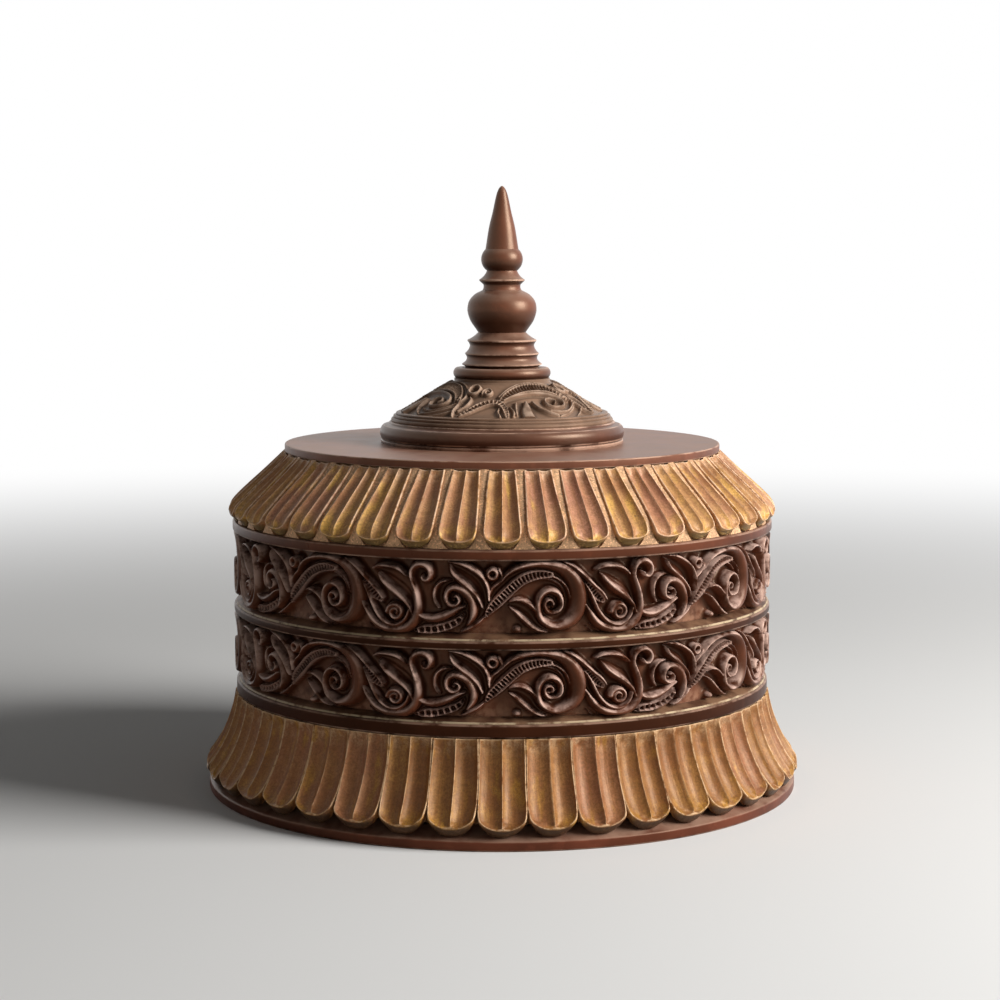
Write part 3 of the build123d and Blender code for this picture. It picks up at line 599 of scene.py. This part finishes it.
class Finish(Nodes):
    """A procedural material for one slot. Lengths in it are millimetres."""

    def __init__(self, name, slot=None):
        self.material, self.slot, self.body = bpy.data.materials.new(name), slot, None
        self.material.use_nodes = True
        super().__init__(self.material.node_tree)
        self.shader = self.tree.nodes["Principled BSDF"]
        spot = self.add("TexCoord", {}).outputs
        self.up = self.add("SeparateXYZ", {0: spot["Normal"]}).outputs["Z"]
        self.place = self.vector("SCALE", spot["Object"], Scale=1 / MM)
        self.height = self.add("SeparateXYZ", {0: self.place}).outputs["Z"]
        flat = self.vector("MULTIPLY", self.place, (1, 1, 0))
        self.radius = self.add("VectorMath", {0: flat}, operation="LENGTH").outputs["Value"]
        self.heading = self.vector("NORMALIZE", flat)

    def vector(self, operation, first, second=(0, 0, 0), **inputs):
        return self.add("VectorMath", {0: first, 1: second, **inputs}, operation=operation).outputs[0]

    def times(self, first, second):
        return self.calc("MULTIPLY", first, second)

    def field(self, name):
        """A value stored on the mesh."""
        return self.add("Attribute", {}, attribute_name=name).outputs["Fac"]

    def noise(self, size, detail=2.0, rough=0.5, place=None):
        """Soft random patches of about that size."""
        return self.add("TexNoise", {"Vector": place or self.place, "Scale": 1 / size, "Detail": detail,
                                     "Roughness": rough}).outputs[0]

    def between(self, value, low, high):
        """0 where the value is at low, 1 where it's at high, and a smooth step between."""
        return self.add("MapRange", {"Value": value, "From Min": low, "From Max": high},
                        interpolation_type="SMOOTHSTEP").outputs[0]

    def patches(self, size, detail, low, high, rough=0.5, place=None):
        """Noise, stepped between two of its levels."""
        return self.between(self.noise(size, detail, rough, place), low, high)

    def lathe_lines(self, size):
        """Fine lines left by turning, round the axis."""
        squash = self.vector("MULTIPLY", self.place, (0.01, 0.01, 1))
        return self.add("TexNoise", {"Vector": squash, "W": self.radius, "Scale": 1 / size, "Detail": 3.0},
                        noise_dimensions="4D").outputs[0]

    def streaks(self, width, length):
        """Patches drawn out down the side of a turned form."""
        around = self.vector("SCALE", self.heading, Scale=120 / width)
        down = self.add("CombineXYZ", {2: self.calc("DIVIDE", self.height, length)}).outputs[0]
        return self.noise(1.0, place=self.vector("ADD", around, down))

    def mottle(self, share, first, second):
        """Starts the colour as a mixture of two."""
        self.body = self.add("Mix", {0: share, 6: first, 7: second}, data_type="RGBA").outputs[2]

    def coat(self, share, colour, *masks):
        """Lays a share of a colour over the colour so far, where the masks let it show."""
        self.mottle(self.times(functools.reduce(self.times, masks), share), self.body, colour)

    def satin(self, size, spread, least):
        """Roughness that drifts up from its least value."""
        return self.calc("ADD", self.times(self.noise(size, 4), spread), least)

    def bump(self, height, depth, **under):
        """Surface normals for a height from 0 to 1 that stands for a depth."""
        given = {"Height": height, "Distance": depth * MM, "Strength": 1.0, **under}
        return self.add("Bump", given).outputs[0]

    def finish(self, rough, bump, **values):
        """Sets the shader. Gives the material and its slot."""
        values = {"Base Color": self.body, "Roughness": rough, "Normal": bump, **values}
        for key, value in values.items():
            self.give(self.shader.inputs[key], value)
        return self.material, self.slot

    def varnish(self, rough, bump, gloss):
        """The finish of lacquer and paint, whose gloss is warm."""
        return self.finish(rough, bump, **{"Specular IOR Level": gloss, "Specular Tint": WARM})


def lacquer(name, colour, dust_share, shine=0.3, gloss=0.15, rub_share=0.45, slot="red_brown_lacquer"):
    """Satin lacquer on turned wood: uneven, rubbed at the edges, dusty on top and with painted shade
    underneath.
    """
    f = Finish(name, slot)
    f.mottle(f.patches(26, 4, 0.34, 0.68), shade(colour, 0.76), shade(colour, 1.14))
    f.coat(0.25, shade(colour, 1.9), f.patches(6, 4, 0.52, 0.72, 0.6))
    # Painted shade: darker on faces that look down.
    f.coat(0.85, shade(colour, 0.2), f.between(f.up, 0.2, -0.6))
    f.coat(dust_share, (0.34, 0.21, 0.145), f.between(f.up, 0.2, 0.95), f.patches(9, 5, 0.16, 0.68))
    edges = f.between(f.field("edge"), 0.2, 0.9)
    f.coat(rub_share, (0.44, 0.27, 0.19), edges, f.patches(12, 5, 0.34, 0.56, 0.6))
    bump = f.bump(f.lathe_lines(0.7), 0.007, Normal=f.bump(f.noise(5), 0.04))
    return f.varnish(f.satin(9, 0.16, shine - 0.08), bump, gloss)


def carved_lacquer(name, relief, colour, dust, rubbed_and_highlight_colour, rubbed_and_highlight_share, shine, gloss):
    """Dark lacquer on carving of so deep a detail, with dust in its hollows, painted shade in its recesses,
    rubbed crests, and painted highlights on faces that look up.
    """
    f = Finish(name, "carved_brown_lacquer")
    lift, rise = f.field("lift"), f.field("rise")
    crest = f.calc("DIVIDE", f.field("crest"), relief)
    f.mottle(f.patches(12, 4, 0.36, 0.66), shade(colour, 0.75), shade(colour, 1.3))
    settled = f.calc("ADD", f.times(f.between(rise, 0.28, 0.0), 0.7), 0.12)
    f.coat(settled, dust, f.between(lift, 0.3, 0.05), f.patches(4, 5, 0.3, 0.65, 0.6))
    # Painted shade in the recesses, where a cell lies below its surroundings.
    f.coat(0.6, shade(colour, 0.3), f.between(crest, -0.3, -1.1))
    # Pale colour on faces that look up is a painted highlight; on crests and ladder rungs it is rubbing.
    lit = f.calc("ADD", f.times(f.up, 1.1), f.times(crest, 0.5))
    high = f.times(f.between(lit, 0.05, 1.1), f.patches(6, 5, 0.34, 0.6, 0.6))
    high = f.times(high, f.between(lift, 0.15, 0.4))
    high = f.calc("MAXIMUM", high, f.times(f.between(f.field("pale"), 0.3, 0.9), 0.42))
    f.coat(rubbed_and_highlight_share, rubbed_and_highlight_colour, high)
    bump = f.bump(f.noise(1.1, 4, 0.6), 0.05, Normal=f.bump(f.noise(4, 3), 0.12))
    return f.varnish(f.satin(6, 0.2, shine - 0.1), bump, gloss)


def rubbed_gold(name, colour, rim, under):
    """Antique gold over brown lacquer, brighter where ridges and rims are rubbed, with painted shade under
    the tips.
    """
    f = Finish(name, "rubbed_gold_lacquer")
    lift, edge, low = f.field("lift"), f.field("edge"), f.field("low")
    brown = (colour[0] * 0.68, colour[1] * 0.55, colour[2] * 0.62)
    bright = (colour[0] * 1.5, colour[1] * 1.6, colour[2] * 1.0)
    pink = (colour[0] * 1.0, colour[1] * 0.84, colour[2] * 1.75)
    f.mottle(f.patches(16, 3, 0.36, 0.64), brown, colour)
    f.coat(0.55, pink, f.between(f.field("tone"), 0.5, 0.9))
    f.coat(0.85, bright, f.between(low, 0.6, 0.9), f.patches(9, 3, 0.44, 0.6))
    f.coat(0.55, rim, f.between(low, 0.22, 0.0), f.patches(5, 4, 0.4, 0.6, 0.65))
    f.coat(0.65, brown, f.between(f.streaks(1.2, 16), 0.44, 0.68))
    f.coat(0.8, bright, f.between(f.streaks(4, 14), 0.5, 0.7), f.patches(26, 3, 0.46, 0.6))
    f.coat(0.3, shade(brown, 0.5), f.patches(3.5, 4, 0.62, 0.36, 0.65))
    f.coat(0.5, shade(brown, 0.4), f.patches(1.0, 3, 0.62, 0.38, 0.7))
    f.coat(0.7, (0.12, 0.06, 0.03), f.patches(1.0, 2, 0.58, 0.68), f.patches(11, 3, 0.42, 0.6))
    # Painted shade on the nose that turns under each tip, with lighter crumbs on it.
    nose = f.between(f.field("under"), 0.0, 1.0)
    f.coat(0.95, under, nose)
    crumbs = f.times(f.patches(1.3, 3, 0.48, 0.6, 0.7), f.patches(7, 2, 0.4, 0.6))
    f.coat(0.6, shade(under, 4), nose, crumbs)
    f.coat(0.75, rim, f.between(edge, 0.3, 0.9), f.patches(3, 5, 0.36, 0.56, 0.65))
    # Darker at the very bottom of the deepest flutes.
    f.coat(0.85, (0.05, 0.025, 0.013), f.between(lift, 0.0, -0.6), f.patches(3, 4, 0.25, 0.5))
    bump = f.bump(f.noise(0.8, 4, 0.65), 0.1, Normal=f.bump(f.streaks(1.5, 12), 0.16))
    return f.varnish(f.satin(5, 0.25, 0.3), bump, 0.4)


def gilded_ground(name, colour):
    """The glittering ground between the petals, in the colour it is given."""
    f = Finish(name, "rubbed_gold_lacquer")
    f.mottle(f.patches(8, 3, 0.36, 0.64), shade(colour, 0.7), shade(colour, 1.1))
    f.coat(0.7, shade(colour, 1.7), f.patches(0.9, 2, 0.54, 0.64))
    elsewhere = f.vector("ADD", f.place, (9, 5, 3))
    f.coat(0.7, shade(colour, 0.45), f.patches(0.9, 2, 0.54, 0.64, place=elsewhere))
    return f.varnish(f.satin(5, 0.2, 0.4), f.bump(f.noise(0.6, 3, 0.65), 0.12), 0.4)


def worn_paint(name, colour):
    """Cream paint, rubbed through to the dark lacquer under it."""
    f = Finish(name, "pale_bead_paint")
    f.mottle(f.patches(9, 4, 0.35, 0.65), (0.06, 0.025, 0.014), (0.17, 0.09, 0.05))
    f.coat(0.9, colour, f.between(f.field("edge"), 0.35, 0.8), f.patches(7, 5, 0.36, 0.54, 0.6))
    return f.varnish(0.45, f.bump(f.noise(1, 4, 0.6), 0.06), 0.2)


def hardwood(name, slot):
    """Bare wood with its grain along X."""
    f, colour = Finish(name, slot), SLOT_COLOURS[slot]
    along = f.vector("MULTIPLY", f.place, (0.06, 1, 1))
    f.mottle(f.patches(1.6, 5, 0.36, 0.64, 0.6, along), shade(colour, 0.62), shade(colour, 1.15))
    return f.finish(0.55, f.bump(f.noise(0.8, 3, place=along), 0.06))


def brass(name, slot):
    """Turned brass with a soft tarnish."""
    f, colour = Finish(name, slot), SLOT_COLOURS[slot]
    f.mottle(f.patches(9, 4, 0.38, 0.66), shade(colour, 0.6), shade(colour, 1.1))
    return f.finish(f.satin(5, 0.3, 0.16), f.bump(f.noise(2, 4), 0.04), Metallic=1.0)


# Each lacquer has a colour, a share of dust, a roughness, a gloss and a share of rubbing.
RAIL_LACQUER = lacquer("rail_lacquer", (0.1, 0.028, 0.013), 0.3)
LOW_RAIL_LACQUER = lacquer("low_rail_lacquer", (0.042, 0.012, 0.005), 0.2, 0.3, 0.06)
BOARD_LACQUER = lacquer("board_lacquer", (0.12, 0.033, 0.017), 0.7, 0.34)
DISC_LACQUER = lacquer("disc_lacquer", (0.15, 0.05, 0.027), 0.42, 0.4, 0.3, 0.8)
FLANGE_LACQUER = lacquer("flange_lacquer", (0.08, 0.026, 0.014), 0.2, 0.34, 0.45, 1.0)
FINIAL_LACQUER = lacquer("finial_lacquer", (0.1, 0.026, 0.011), 0.55, 0.38, 0.6, 1.0)
INNER, TRAY = "inner_red_lacquer", "tray_lacquer"
INNER_LACQUER = lacquer("inner_lacquer", SLOT_COLOURS[INNER], 0.1, 0.4, slot=INNER)
TRAY_LACQUER = lacquer("tray_lacquer", SLOT_COLOURS[TRAY], 0.15, 0.4, slot=TRAY)
# Each carved lacquer has a relief, a colour, a dust colour, a pale colour and its share for rubbed crests
# and painted highlights, a roughness and a gloss.
FRIEZE_LACQUER = carved_lacquer("frieze_lacquer", 1.0, (0.075, 0.022, 0.01), (0.27, 0.135, 0.08),
                                (0.62, 0.42, 0.34), 0.7, 0.34, 0.2)
DOME_LACQUER = carved_lacquer("dome_lacquer", 0.4, (0.21, 0.125, 0.08), (0.2, 0.12, 0.078),
                              (0.45, 0.32, 0.235), 0.65, 0.36, 0.15)
# The last colour of each gold is the painted shade under its tips.
LID_GOLD = rubbed_gold("lid_gold", (0.56, 0.305, 0.11), (0.8, 0.55, 0.36), (0.11, 0.066, 0.022))
BASE_GOLD = rubbed_gold("base_gold", (0.36, 0.168, 0.045), (0.66, 0.44, 0.25), (0.03, 0.014, 0.007))
GROUND_GOLD = gilded_ground("ground_gold", (0.58, 0.34, 0.185))
# Painted shade: the ground between the base petals is near-black, standing for the shade in their gaps.
BASE_GROUND_SHADE = gilded_ground("base_ground_shade", (0.05, 0.022, 0.01))
BEAD_PAINT = worn_paint("bead_paint", (0.46, 0.35, 0.22))
HARDWOOD = hardwood("hardwood", "bare_hardwood")
BRASS = brass("brass", "turned_brass")


# The box

def turned_piece(node, outline, finish, body, wobble, crease=40):
    """A turned piece that stands for one node."""
    dress(lathe(f"{node}_turned", outline, wobble, crease), body, finish, node)


def make_rails():
    """The three hoops, with their outer edges eased, and the two thin beads above them."""
    for node in ("lower_rail", "middle_rail", "upper_rail"):
        radius, low, high = extent(node)
        inset, finish = (UPPER_RAIL_INSET, RAIL_LACQUER) if node == "upper_rail" else (0, LOW_RAIL_LACQUER)
        corners = [(radius - inset, low, 1.0), (radius - inset, high, 1.2)]
        section = rounded([(DRUM_BACK, low, 0), *corners, (DRUM_BACK, high, 0)])
        turned_piece(node, section, finish, "root", 0.25)
    nose_shape = ((0, 0), (0.05, 0.4), (0.35, 0.75), (0.8, 1.0))
    for node in ("lower_lip", "upper_lip"):
        radius, low, high = extent(node)
        nose = [(radius - back, low + rise) for back, rise in nose_shape]
        slope = bowed(nose[-1], (radius - 4.6, high), -0.2)[1:]
        turned_piece(node, [(DRUM_BACK, low)] + nose + slope + [(DRUM_BACK, high)], BEAD_PAINT, "root", 0.3)


def make_base_board():
    """The board under the base petals, with its thin rim and sloping upper edge."""
    radius, low, high = extent("base_board")
    rim_top, slope = 4.2, 10
    corners = [(radius, low, 0.9), (radius, rim_top, 1.1), (radius - slope, high, 0.5)]
    turned_piece("base_board", rounded([(0, low, 0), *corners, (0, high, 0)]), BOARD_LACQUER, "root", 0.3)


def make_top():
    """The lid's flat disc, the moulding under the dome and the finial's collar."""
    hole = bore_radius()
    radius, low, high = extent("lid_top_disc")
    section = rounded([(hole, low, 0), (radius, low, 0.6), (radius, high, 0.7), (hole, high, 0)])
    turned_piece("lid_top_disc", section, DISC_LACQUER, "lid", 0.2)
    radius, low, high = extent("dome_flange")
    swell = smooth_line([(0.5, 2.1), (0.05, 4), (0.1, 6), (0.7, 7.3), (1.5, 8.1)], 0.7)
    section = [(0.5, 0), (0.4, 0.3), (0.4, 1.2), (0.9, 1.6), *swell]
    section = [(radius - back, low + rise) for back, rise in section]
    section += [(radius - back, high - fall) for back, fall in ((4.2, 0.9), (4.3, 0.2), (4.6, 0))]
    turned_piece("dome_flange", bored(section), FLANGE_LACQUER, "lid", 0.15)
    radius, low, high = extent("finial_collar")
    section = bored(bowed((radius - 1.3, low), (radius - 1.3, high), -1.3))
    turned_piece("finial_collar", section, FINIAL_LACQUER, "lid", 0.1)


def make_finial():
    """Ringed foot, onion bulb, ring, bead and spire over the blind hole of the dowel."""
    _, low, high = extent("finial")
    hole, hole_top = bore_radius(), extent("finial_dowel")[2] + 0.1
    line = [(16.6, low)]
    lipped_ring(line, 18.4, 4.2, 16.2)
    lipped_ring(line, 17.0, 5.8, 14.8)
    lipped_ring(line, 15.9, 6.2, 11.0)
    foot = line[-1][1]
    bulb = [(11.0, 0), (12.3, 1.9), (14.4, 5.0), (15.7, 8.6), (15.9, 11.2), (15.1, 14.4), (12.6, 17.3),
            (9.0, 19.2)]
    line += [(radius, foot + rise) for radius, rise in smooth_line(bulb, 1.0)[1:]]
    line += bowed(line[-1], (8.6, foot + 21.8), 0.3, 5)[1:]
    line += [(9.9, foot + 23.0), (10.5, foot + 23.6), (10.4, foot + 24.1)]
    line += bowed(line[-1], (7.0, foot + 28.1), 0.5, 8)[1:]
    bead(line, 9.6, 9.8, 7.6)
    spire = [(6.05, 19.0), (4.3, 11.7), (3.15, 6.2), (2.3, 3.0), (1.45, 1.1), (0.5, 0.1)]
    line += list(smooth_line([line[-1]] + [(radius, high - fall) for radius, fall in spire], 0.8)[1:])
    line += [(0, high), (0, hole_top), (hole, hole_top), (hole, low)]
    turned_piece("finial", line, FINIAL_LACQUER, "lid", 0.08, crease=30)


def make_friezes():
    """The two carved bands: the same scroll, squeezed a little on the lower one."""
    carving = carved(draw_frieze, FRIEZE_SIZE, FRIEZE_CELL, FRIEZE_RELIEF)
    for node in ("upper_frieze", "lower_frieze"):
        _, low, high = extent(node)
        face = Meridian([(FRIEZE_GROUND, low), (FRIEZE_GROUND, high)], smooth=False)
        carved_pieces(node, carving, face, FRIEZE_REPEATS, FRIEZE_PHASE, ("root", FRIEZE_LACQUER, node),
                      shift=0.16, thickness=FRIEZE_GROUND - DRUM_BACK)


def make_dome():
    """The dome's stepped core, and the four carved repeats on its slope."""
    radius, low, high = extent("dome")
    foot, crown = np.array([47.2, low + 4.8]), np.array([22.6, high - 0.2])
    slope = bowed(foot, crown, 0.5, 24)
    sunk = [point - (DOME_CUT * 0.5, DOME_CUT * 0.86) for point in slope]
    section = [(radius - 0.4, low)]
    for inset, base, rise in ((0.35, 0.1, 1.6), (1.35, 1.9, 1.2), (2.6, 3.2, 1.1)):
        start = np.array([radius - inset, low + base])
        section += bowed(start, start + (-0.4, rise), -0.35, 7)
    section += [foot - (0.6, 0.4)] + sunk[1:-1] + [(22, high - 1.2), (22, high)]
    turned_piece("dome", bored(section), DOME_LACQUER, "lid", 0.1)
    carving = carved(draw_dome, DOME_SIZE, DOME_CELL, DOME_RELIEF)
    carved_pieces("dome_scroll", carving, Meridian(sunk, smooth=False), DOME_REPEATS, DOME_PHASE,
                  ("lid", DOME_LACQUER, "dome"), shift=0.12, thickness=0.8)


def smoothstep(value):
    """0 up to 0, 1 from 1, and a smooth step between."""
    value = np.clip(value, 0, 1)
    return value * value * (3 - 2 * value)


@dataclass
class Tongue:
    """The shape of one kind of petal. Lengths along it run down the meridian from its top. Halves are half
    its width at its top and low down. Its tip is rounded over a height, and its nose turns under over a
    width, by a depth that it sinks. Two flutes lie inside its rim."""

    meridian: Meridian
    halves: tuple
    tip: float
    power: float
    nose: float
    sink: float
    rim: float
    flute_depth: float
    flatness: float

    def width_at(self, run, tip):
        """Half the width without the tip, how far into the tip the run is, and the share left there."""
        top, low = self.meridian.line[[0, -1], 1]
        fall = top - self.meridian.at(run)[1]
        into_tip = np.clip((fall - (top - low - tip)) / tip, 0, 0.9995)
        share = np.clip(fall / (top - low - tip), 0, 1)
        left = (1 - into_tip**self.power) ** (1 / self.power)
        return self.halves[0] + (self.halves[1] - self.halves[0]) * share, into_tip, left

    def shell(self, azimuth):
        """Points and faces of one petal at an azimuth, and the values stored on its points."""
        line = self.meridian
        straight = line.length - self.tip
        run = np.linspace(0, straight, round(straight / PETAL_CELL), endpoint=False)
        run = np.append(run, straight + self.tip * np.sin(np.linspace(0, math.pi / 2, TIP_COLS)))[None, :]
        spread = np.linspace(-1, 1, PETAL_ROWS)
        across = (0.5 * spread + 0.5 * np.sin(spread * math.pi / 2))[:, None]
        full, into_tip, left = self.width_at(run, self.tip * rng.uniform(0.94, 1.06))
        full = full * rng.uniform(0.97, 1.01) * (1 + 0.012 * np.sin(run / 5 + rng.uniform(0, 6)))
        half = full * left
        inset = (np.abs(across * left) ** self.power + into_tip**self.power) ** (1 / self.power)
        from_edge = (1 - inset) * full
        at_nose = smoothstep((into_tip - 0.4) / 0.45)
        fillet = SIDE_FILLET + (self.nose - SIDE_FILLET) * at_nose
        past_rim = np.clip(1 - from_edge / fillet, 0, 1)
        drop = 0.65 * at_nose * past_rim + (1 - 0.65 * at_nose) * (1 - np.sqrt(1 - past_rim**2))
        rounding = (SIDE_FILLET + (self.sink - SIDE_FILLET) * at_nose) * drop
        side = across * half - rng.uniform(-0.05, 0.05) * full
        cusp = CUSP * at_nose * np.exp(-(side / 1.8) ** 2)
        from_rim = np.clip(from_edge - fillet - self.rim - cusp, 0, None)
        both = from_rim + np.abs(side)
        hollow = 4 * from_rim * np.abs(side) / np.maximum(both, 0.01) ** 2
        hollow = hollow * np.clip(both / (full - SIDE_FILLET - self.rim), 0, 1) ** 0.7
        depth = self.flute_depth * np.where(side < 0, rng.uniform(0.85, 1.1), rng.uniform(0.85, 1.1))
        dug = depth * hollow**self.flatness * (0.4 + 0.6 * smoothstep(run / 4))
        uneven = 0.07 * np.sin(run / 6 + rng.uniform(0, 6)) * np.sin(3 * across + rng.uniform(0, 6))
        lean = rng.uniform(-0.06, 0.06)
        turn = np.degrees((half * across + lean * run / line.length) / line.at(run)[0])
        shape = line.wrap(run, azimuth + turn, -rounding - dug - 0.08 + uneven, PETAL_WALL)
        ridge_line = 0.7 * np.exp(-(side / 0.5) ** 2) * (from_rim > 0.3)
        rim_line = np.exp(-((from_edge - fillet + 0.1 - 0.6 * cusp) / (0.42 + 0.4 * cusp)) ** 2)
        edge = np.maximum(np.maximum(ridge_line, rim_line), np.exp(-run / 0.7))
        lift = 1 - dug / self.flute_depth - smoothstep(rounding / 1.5) * 0.6
        # Where the painted shade goes: the nose, past its rim.
        under = smoothstep((past_rim - 0.05) / 0.25) * at_nose
        spare = np.zeros(2 * run.size)
        values = {"lift": lift, "edge": edge, "under": under, "tone": rng.uniform() + 0 * lift,
                  "low": run / line.length + 0 * lift}
        return shape, {key: np.append(grid.ravel(), spare) for key, grid in values.items()}

    def ground_shell(self, azimuth, ground, count, overlap):
        """Points and faces of the strip of ground that shows between two petals of a ring of so many."""
        run = np.linspace(0, ground.length, round(ground.length / GROUND_CELL))[None, :]
        across = np.linspace(-1, 1, GROUND_ROWS)[:, None]
        full, _, left = self.width_at(run, self.tip)
        reach = math.pi * ground.at(run)[0] / count
        turn = np.degrees(np.minimum(reach - full * left + overlap, reach) * across / ground.at(run)[0])
        return ground.wrap(run, azimuth + turn, 0.25 * (1 - across**2), GROUND_WALL), {}


def petal_ring(name, body, tongue, ground, golds, count, per_piece, overlap):
    """A ring's petals, in pieces of so many, and the strips of ground between them, in one piece."""
    step = 360 / count

    def petal(index):
        return tongue.shell(FRONT + step * index)

    def strip(index):
        return tongue.ground_shell(FRONT + step * (index + 0.5), ground, count, overlap)

    kinds = (("petal", petal, per_piece, golds[0]), ("ground", strip, count, golds[1]))
    for kind, shell, share, gold in kinds:
        for start in range(0, count, share):
            shells = [shell(index) for index in range(start, start + share)]
            shapes, values = zip(*shells)
            fields = {key: np.concatenate([value[key] for value in values]) for key in values[0]}
            piece = make_piece(f"{name}_{kind}_{start // share + 1}", *merged(shapes), fields, crease=50)
            dress(piece, body, gold, f"{name}_petal_ring")


def make_lid_petals():
    """The lid's sloping ring, its petals and the strips of ground between them."""
    tip, low, high = extent_in_front("lid_petal_ring")
    bore, recess = 112.4, 93.1
    tip += LID_TIP_OUT

    def slope(*places):
        """Points at distances in from the tip and down from the ring's top."""
        return [(tip - back, high - fall) for back, fall in places]

    meridian = Meridian(slope((25.2, 0), (17.8, 6.95), (10.2, 13.85), (3.4, 20.25), (0.9, 23.2), (0, 25.6),
                              (0, 28.0), (0.15, 30.6)))
    core = np.column_stack(meridian.at(np.linspace(1, 31, 16), -3.3))[::-1]
    section = [(bore, low), (tip - 4.4, low), *core, (tip - 27.6, high), (recess, high)]
    section += [(recess, high - 6), (recess - 4, high - 6), (bore, low + 8)]
    dress(lathe("lid_ring", section), "lid", GROUND_GOLD, "lid_petal_ring")
    tongue = Tongue(meridian, halves=(5.9, 8.1), tip=9.5, power=2.35, nose=4.0, sink=2.9, rim=0.3,
                    flute_depth=2.0, flatness=0.85)
    ground = Meridian(slope((26.1, 0), (18.7, 7.8), (11.1, 14.7), (4.9, 21.0), (3.2, 24.4), (2.9, 27.4),
                            (2.9, 30.6)))
    petal_ring("lid", "lid", tongue, ground, (LID_GOLD, GROUND_GOLD), LID_PETALS, per_piece=7, overlap=0.5)


def make_base_petals():
    """The base's flared ring, its petals and the slips between them."""
    tip, low, high = extent_in_front("base_petal_ring")
    crest, back = tip - 14.0, tip - 17.4
    board_top = extent("base_board")[2]
    flare = bowed((tip - 13.5, board_top), (back, high), 1.8)
    section = [(DRUM_BACK, board_top), *flare, (DRUM_BACK, high)]
    dress(lathe("base_ring", section), "root", BASE_GOLD, "base_petal_ring")
    line = bowed((tip - 0.9, 13.5), (crest, high), 2.2, 9)[::-1]
    line += [(tip - 0.3, 11.6), (tip - 0.2, 9.8), (tip - 0.2, 8.2), (tip - 0.4, low - 2.5)]
    tongue = Tongue(Meridian(line), halves=(9.8, 10.6), tip=14.5, power=2.5, nose=3.4, sink=3.0, rim=0.2,
                    flute_depth=2.9, flatness=0.75)
    ground = Meridian([(radius - 2.4, height) for radius, height in line[:7]])
    petal_ring("base", "root", tongue, ground, (BASE_GOLD, BASE_GROUND_SHADE), BASE_PETALS, per_piece=8,
               overlap=0.2)


def paint_node(node, finish):
    """Finishes a CAD node that's shown as it is, with its edges eased."""
    shown = frame["nodes"][node]
    material, slot = finish
    shown.data.materials.clear()
    shown.data.materials.append(material)
    ease = shown.modifiers.new("eased_edges", "BEVEL")
    ease.width, ease.segments = 0.3 * MM, 2
    ease.limit_method, ease.angle_limit = "ANGLE", math.radians(40)


def make_inside():
    """What shows only when the lid is off: the wall, floor and ledge, and the tray with its cups."""
    for node in ("drum_wall", "drum_floor", "tray_ledge", "lid_ceiling"):
        paint_node(node, INNER_LACQUER)
    paint_node("finial_dowel", HARDWOOD)
    for node in ("tray_rim", "tray_board", "tray_knob_right", "tray_knob_left"):
        paint_node(node, TRAY_LACQUER)
    for node in [f"cup_{index}" for index in range(7)] + ["lime_cover", "catechu_cover"]:
        paint_node(node, BRASS)


# Stage, lights and camera

WHITE, AMBIENT = (1, 1, 1), 0.06


def make_stage():
    """A pale floor that fades into the white background, without lighting the box."""
    mesh = bpy.data.meshes.new("floor")
    reach = 6.0
    corners = [(-reach, -reach, 0), (reach, -reach, 0), (reach, reach, 0), (-reach, reach, 0)]
    mesh.from_pydata(corners, [], [(0, 1, 2, 3)])
    f = Finish("floor")
    f.give(f.shader.inputs["Base Color"], (0.72, 0.71, 0.69))
    f.give(f.shader.inputs["Roughness"], 0.9)
    glow = f.add("Emission", {"Color": WHITE, "Strength": 1.0})
    fade_start, fade_end = 350, 1600
    far = f.times(f.between(f.radius, fade_start, fade_end), f.seen_directly())
    f.show("Material Output", far, f.shader, glow)
    mesh.materials.append(f.material)
    link(bpy.data.objects.new("floor", mesh))


def make_world():
    """Soft grey light all round, and a white background."""
    world = bpy.data.worlds.new("studio")
    bpy.context.scene.world = world
    world.use_nodes = True
    nodes = Nodes(world.node_tree)
    light = nodes.tree.nodes["Background"]
    nodes.give(light.inputs["Color"], WHITE)
    nodes.give(light.inputs["Strength"], AMBIENT)
    nodes.show("World Output", nodes.seen_directly(), light, nodes.add("Background", {"Color": WHITE}))


def make_lamp(name, azimuth, elevation, distance, size, power):
    """A square soft light aimed at the box. Azimuth is measured from the camera's side to its right."""
    lamp = bpy.data.lights.new(name, "AREA")
    lamp.size, lamp.energy = size, power
    turn, climb = math.radians(azimuth), math.radians(elevation)
    target = Vector((0, 0, 0.12))
    arm = Vector((math.sin(turn) * math.cos(climb), -math.cos(turn) * math.cos(climb), math.sin(climb)))
    holder = bpy.data.objects.new(name, lamp)
    holder.location = target + arm * distance
    holder.rotation_euler = arm.to_track_quat("Z", "Y").to_euler()
    link(holder)


def make_camera():
    """The photograph's view."""
    camera = bpy.data.cameras.new("camera")
    widths_away, tilt_down = 2.31, 6.33
    camera.sensor_width, camera.lens = 36, 36 * widths_away
    holder = bpy.data.objects.new("camera", camera)
    holder.location = (-0.0009, -1.0625, 0.2484)
    holder.rotation_euler = (math.radians(90 - tilt_down), 0, 0)
    bpy.context.scene.camera = link(holder)


make_rails()
make_base_board()
make_top()
make_finial()
make_friezes()
make_dome()
make_lid_petals()
make_base_petals()
make_inside()
make_stage()
make_world()
make_lamp("key", 70, 26, 1.5, 0.8, 40)
make_lamp("fill", 30, 20, 1.7, 1.2, 0.3)
make_camera()
bpy.context.scene.view_settings.view_transform = "Standard"
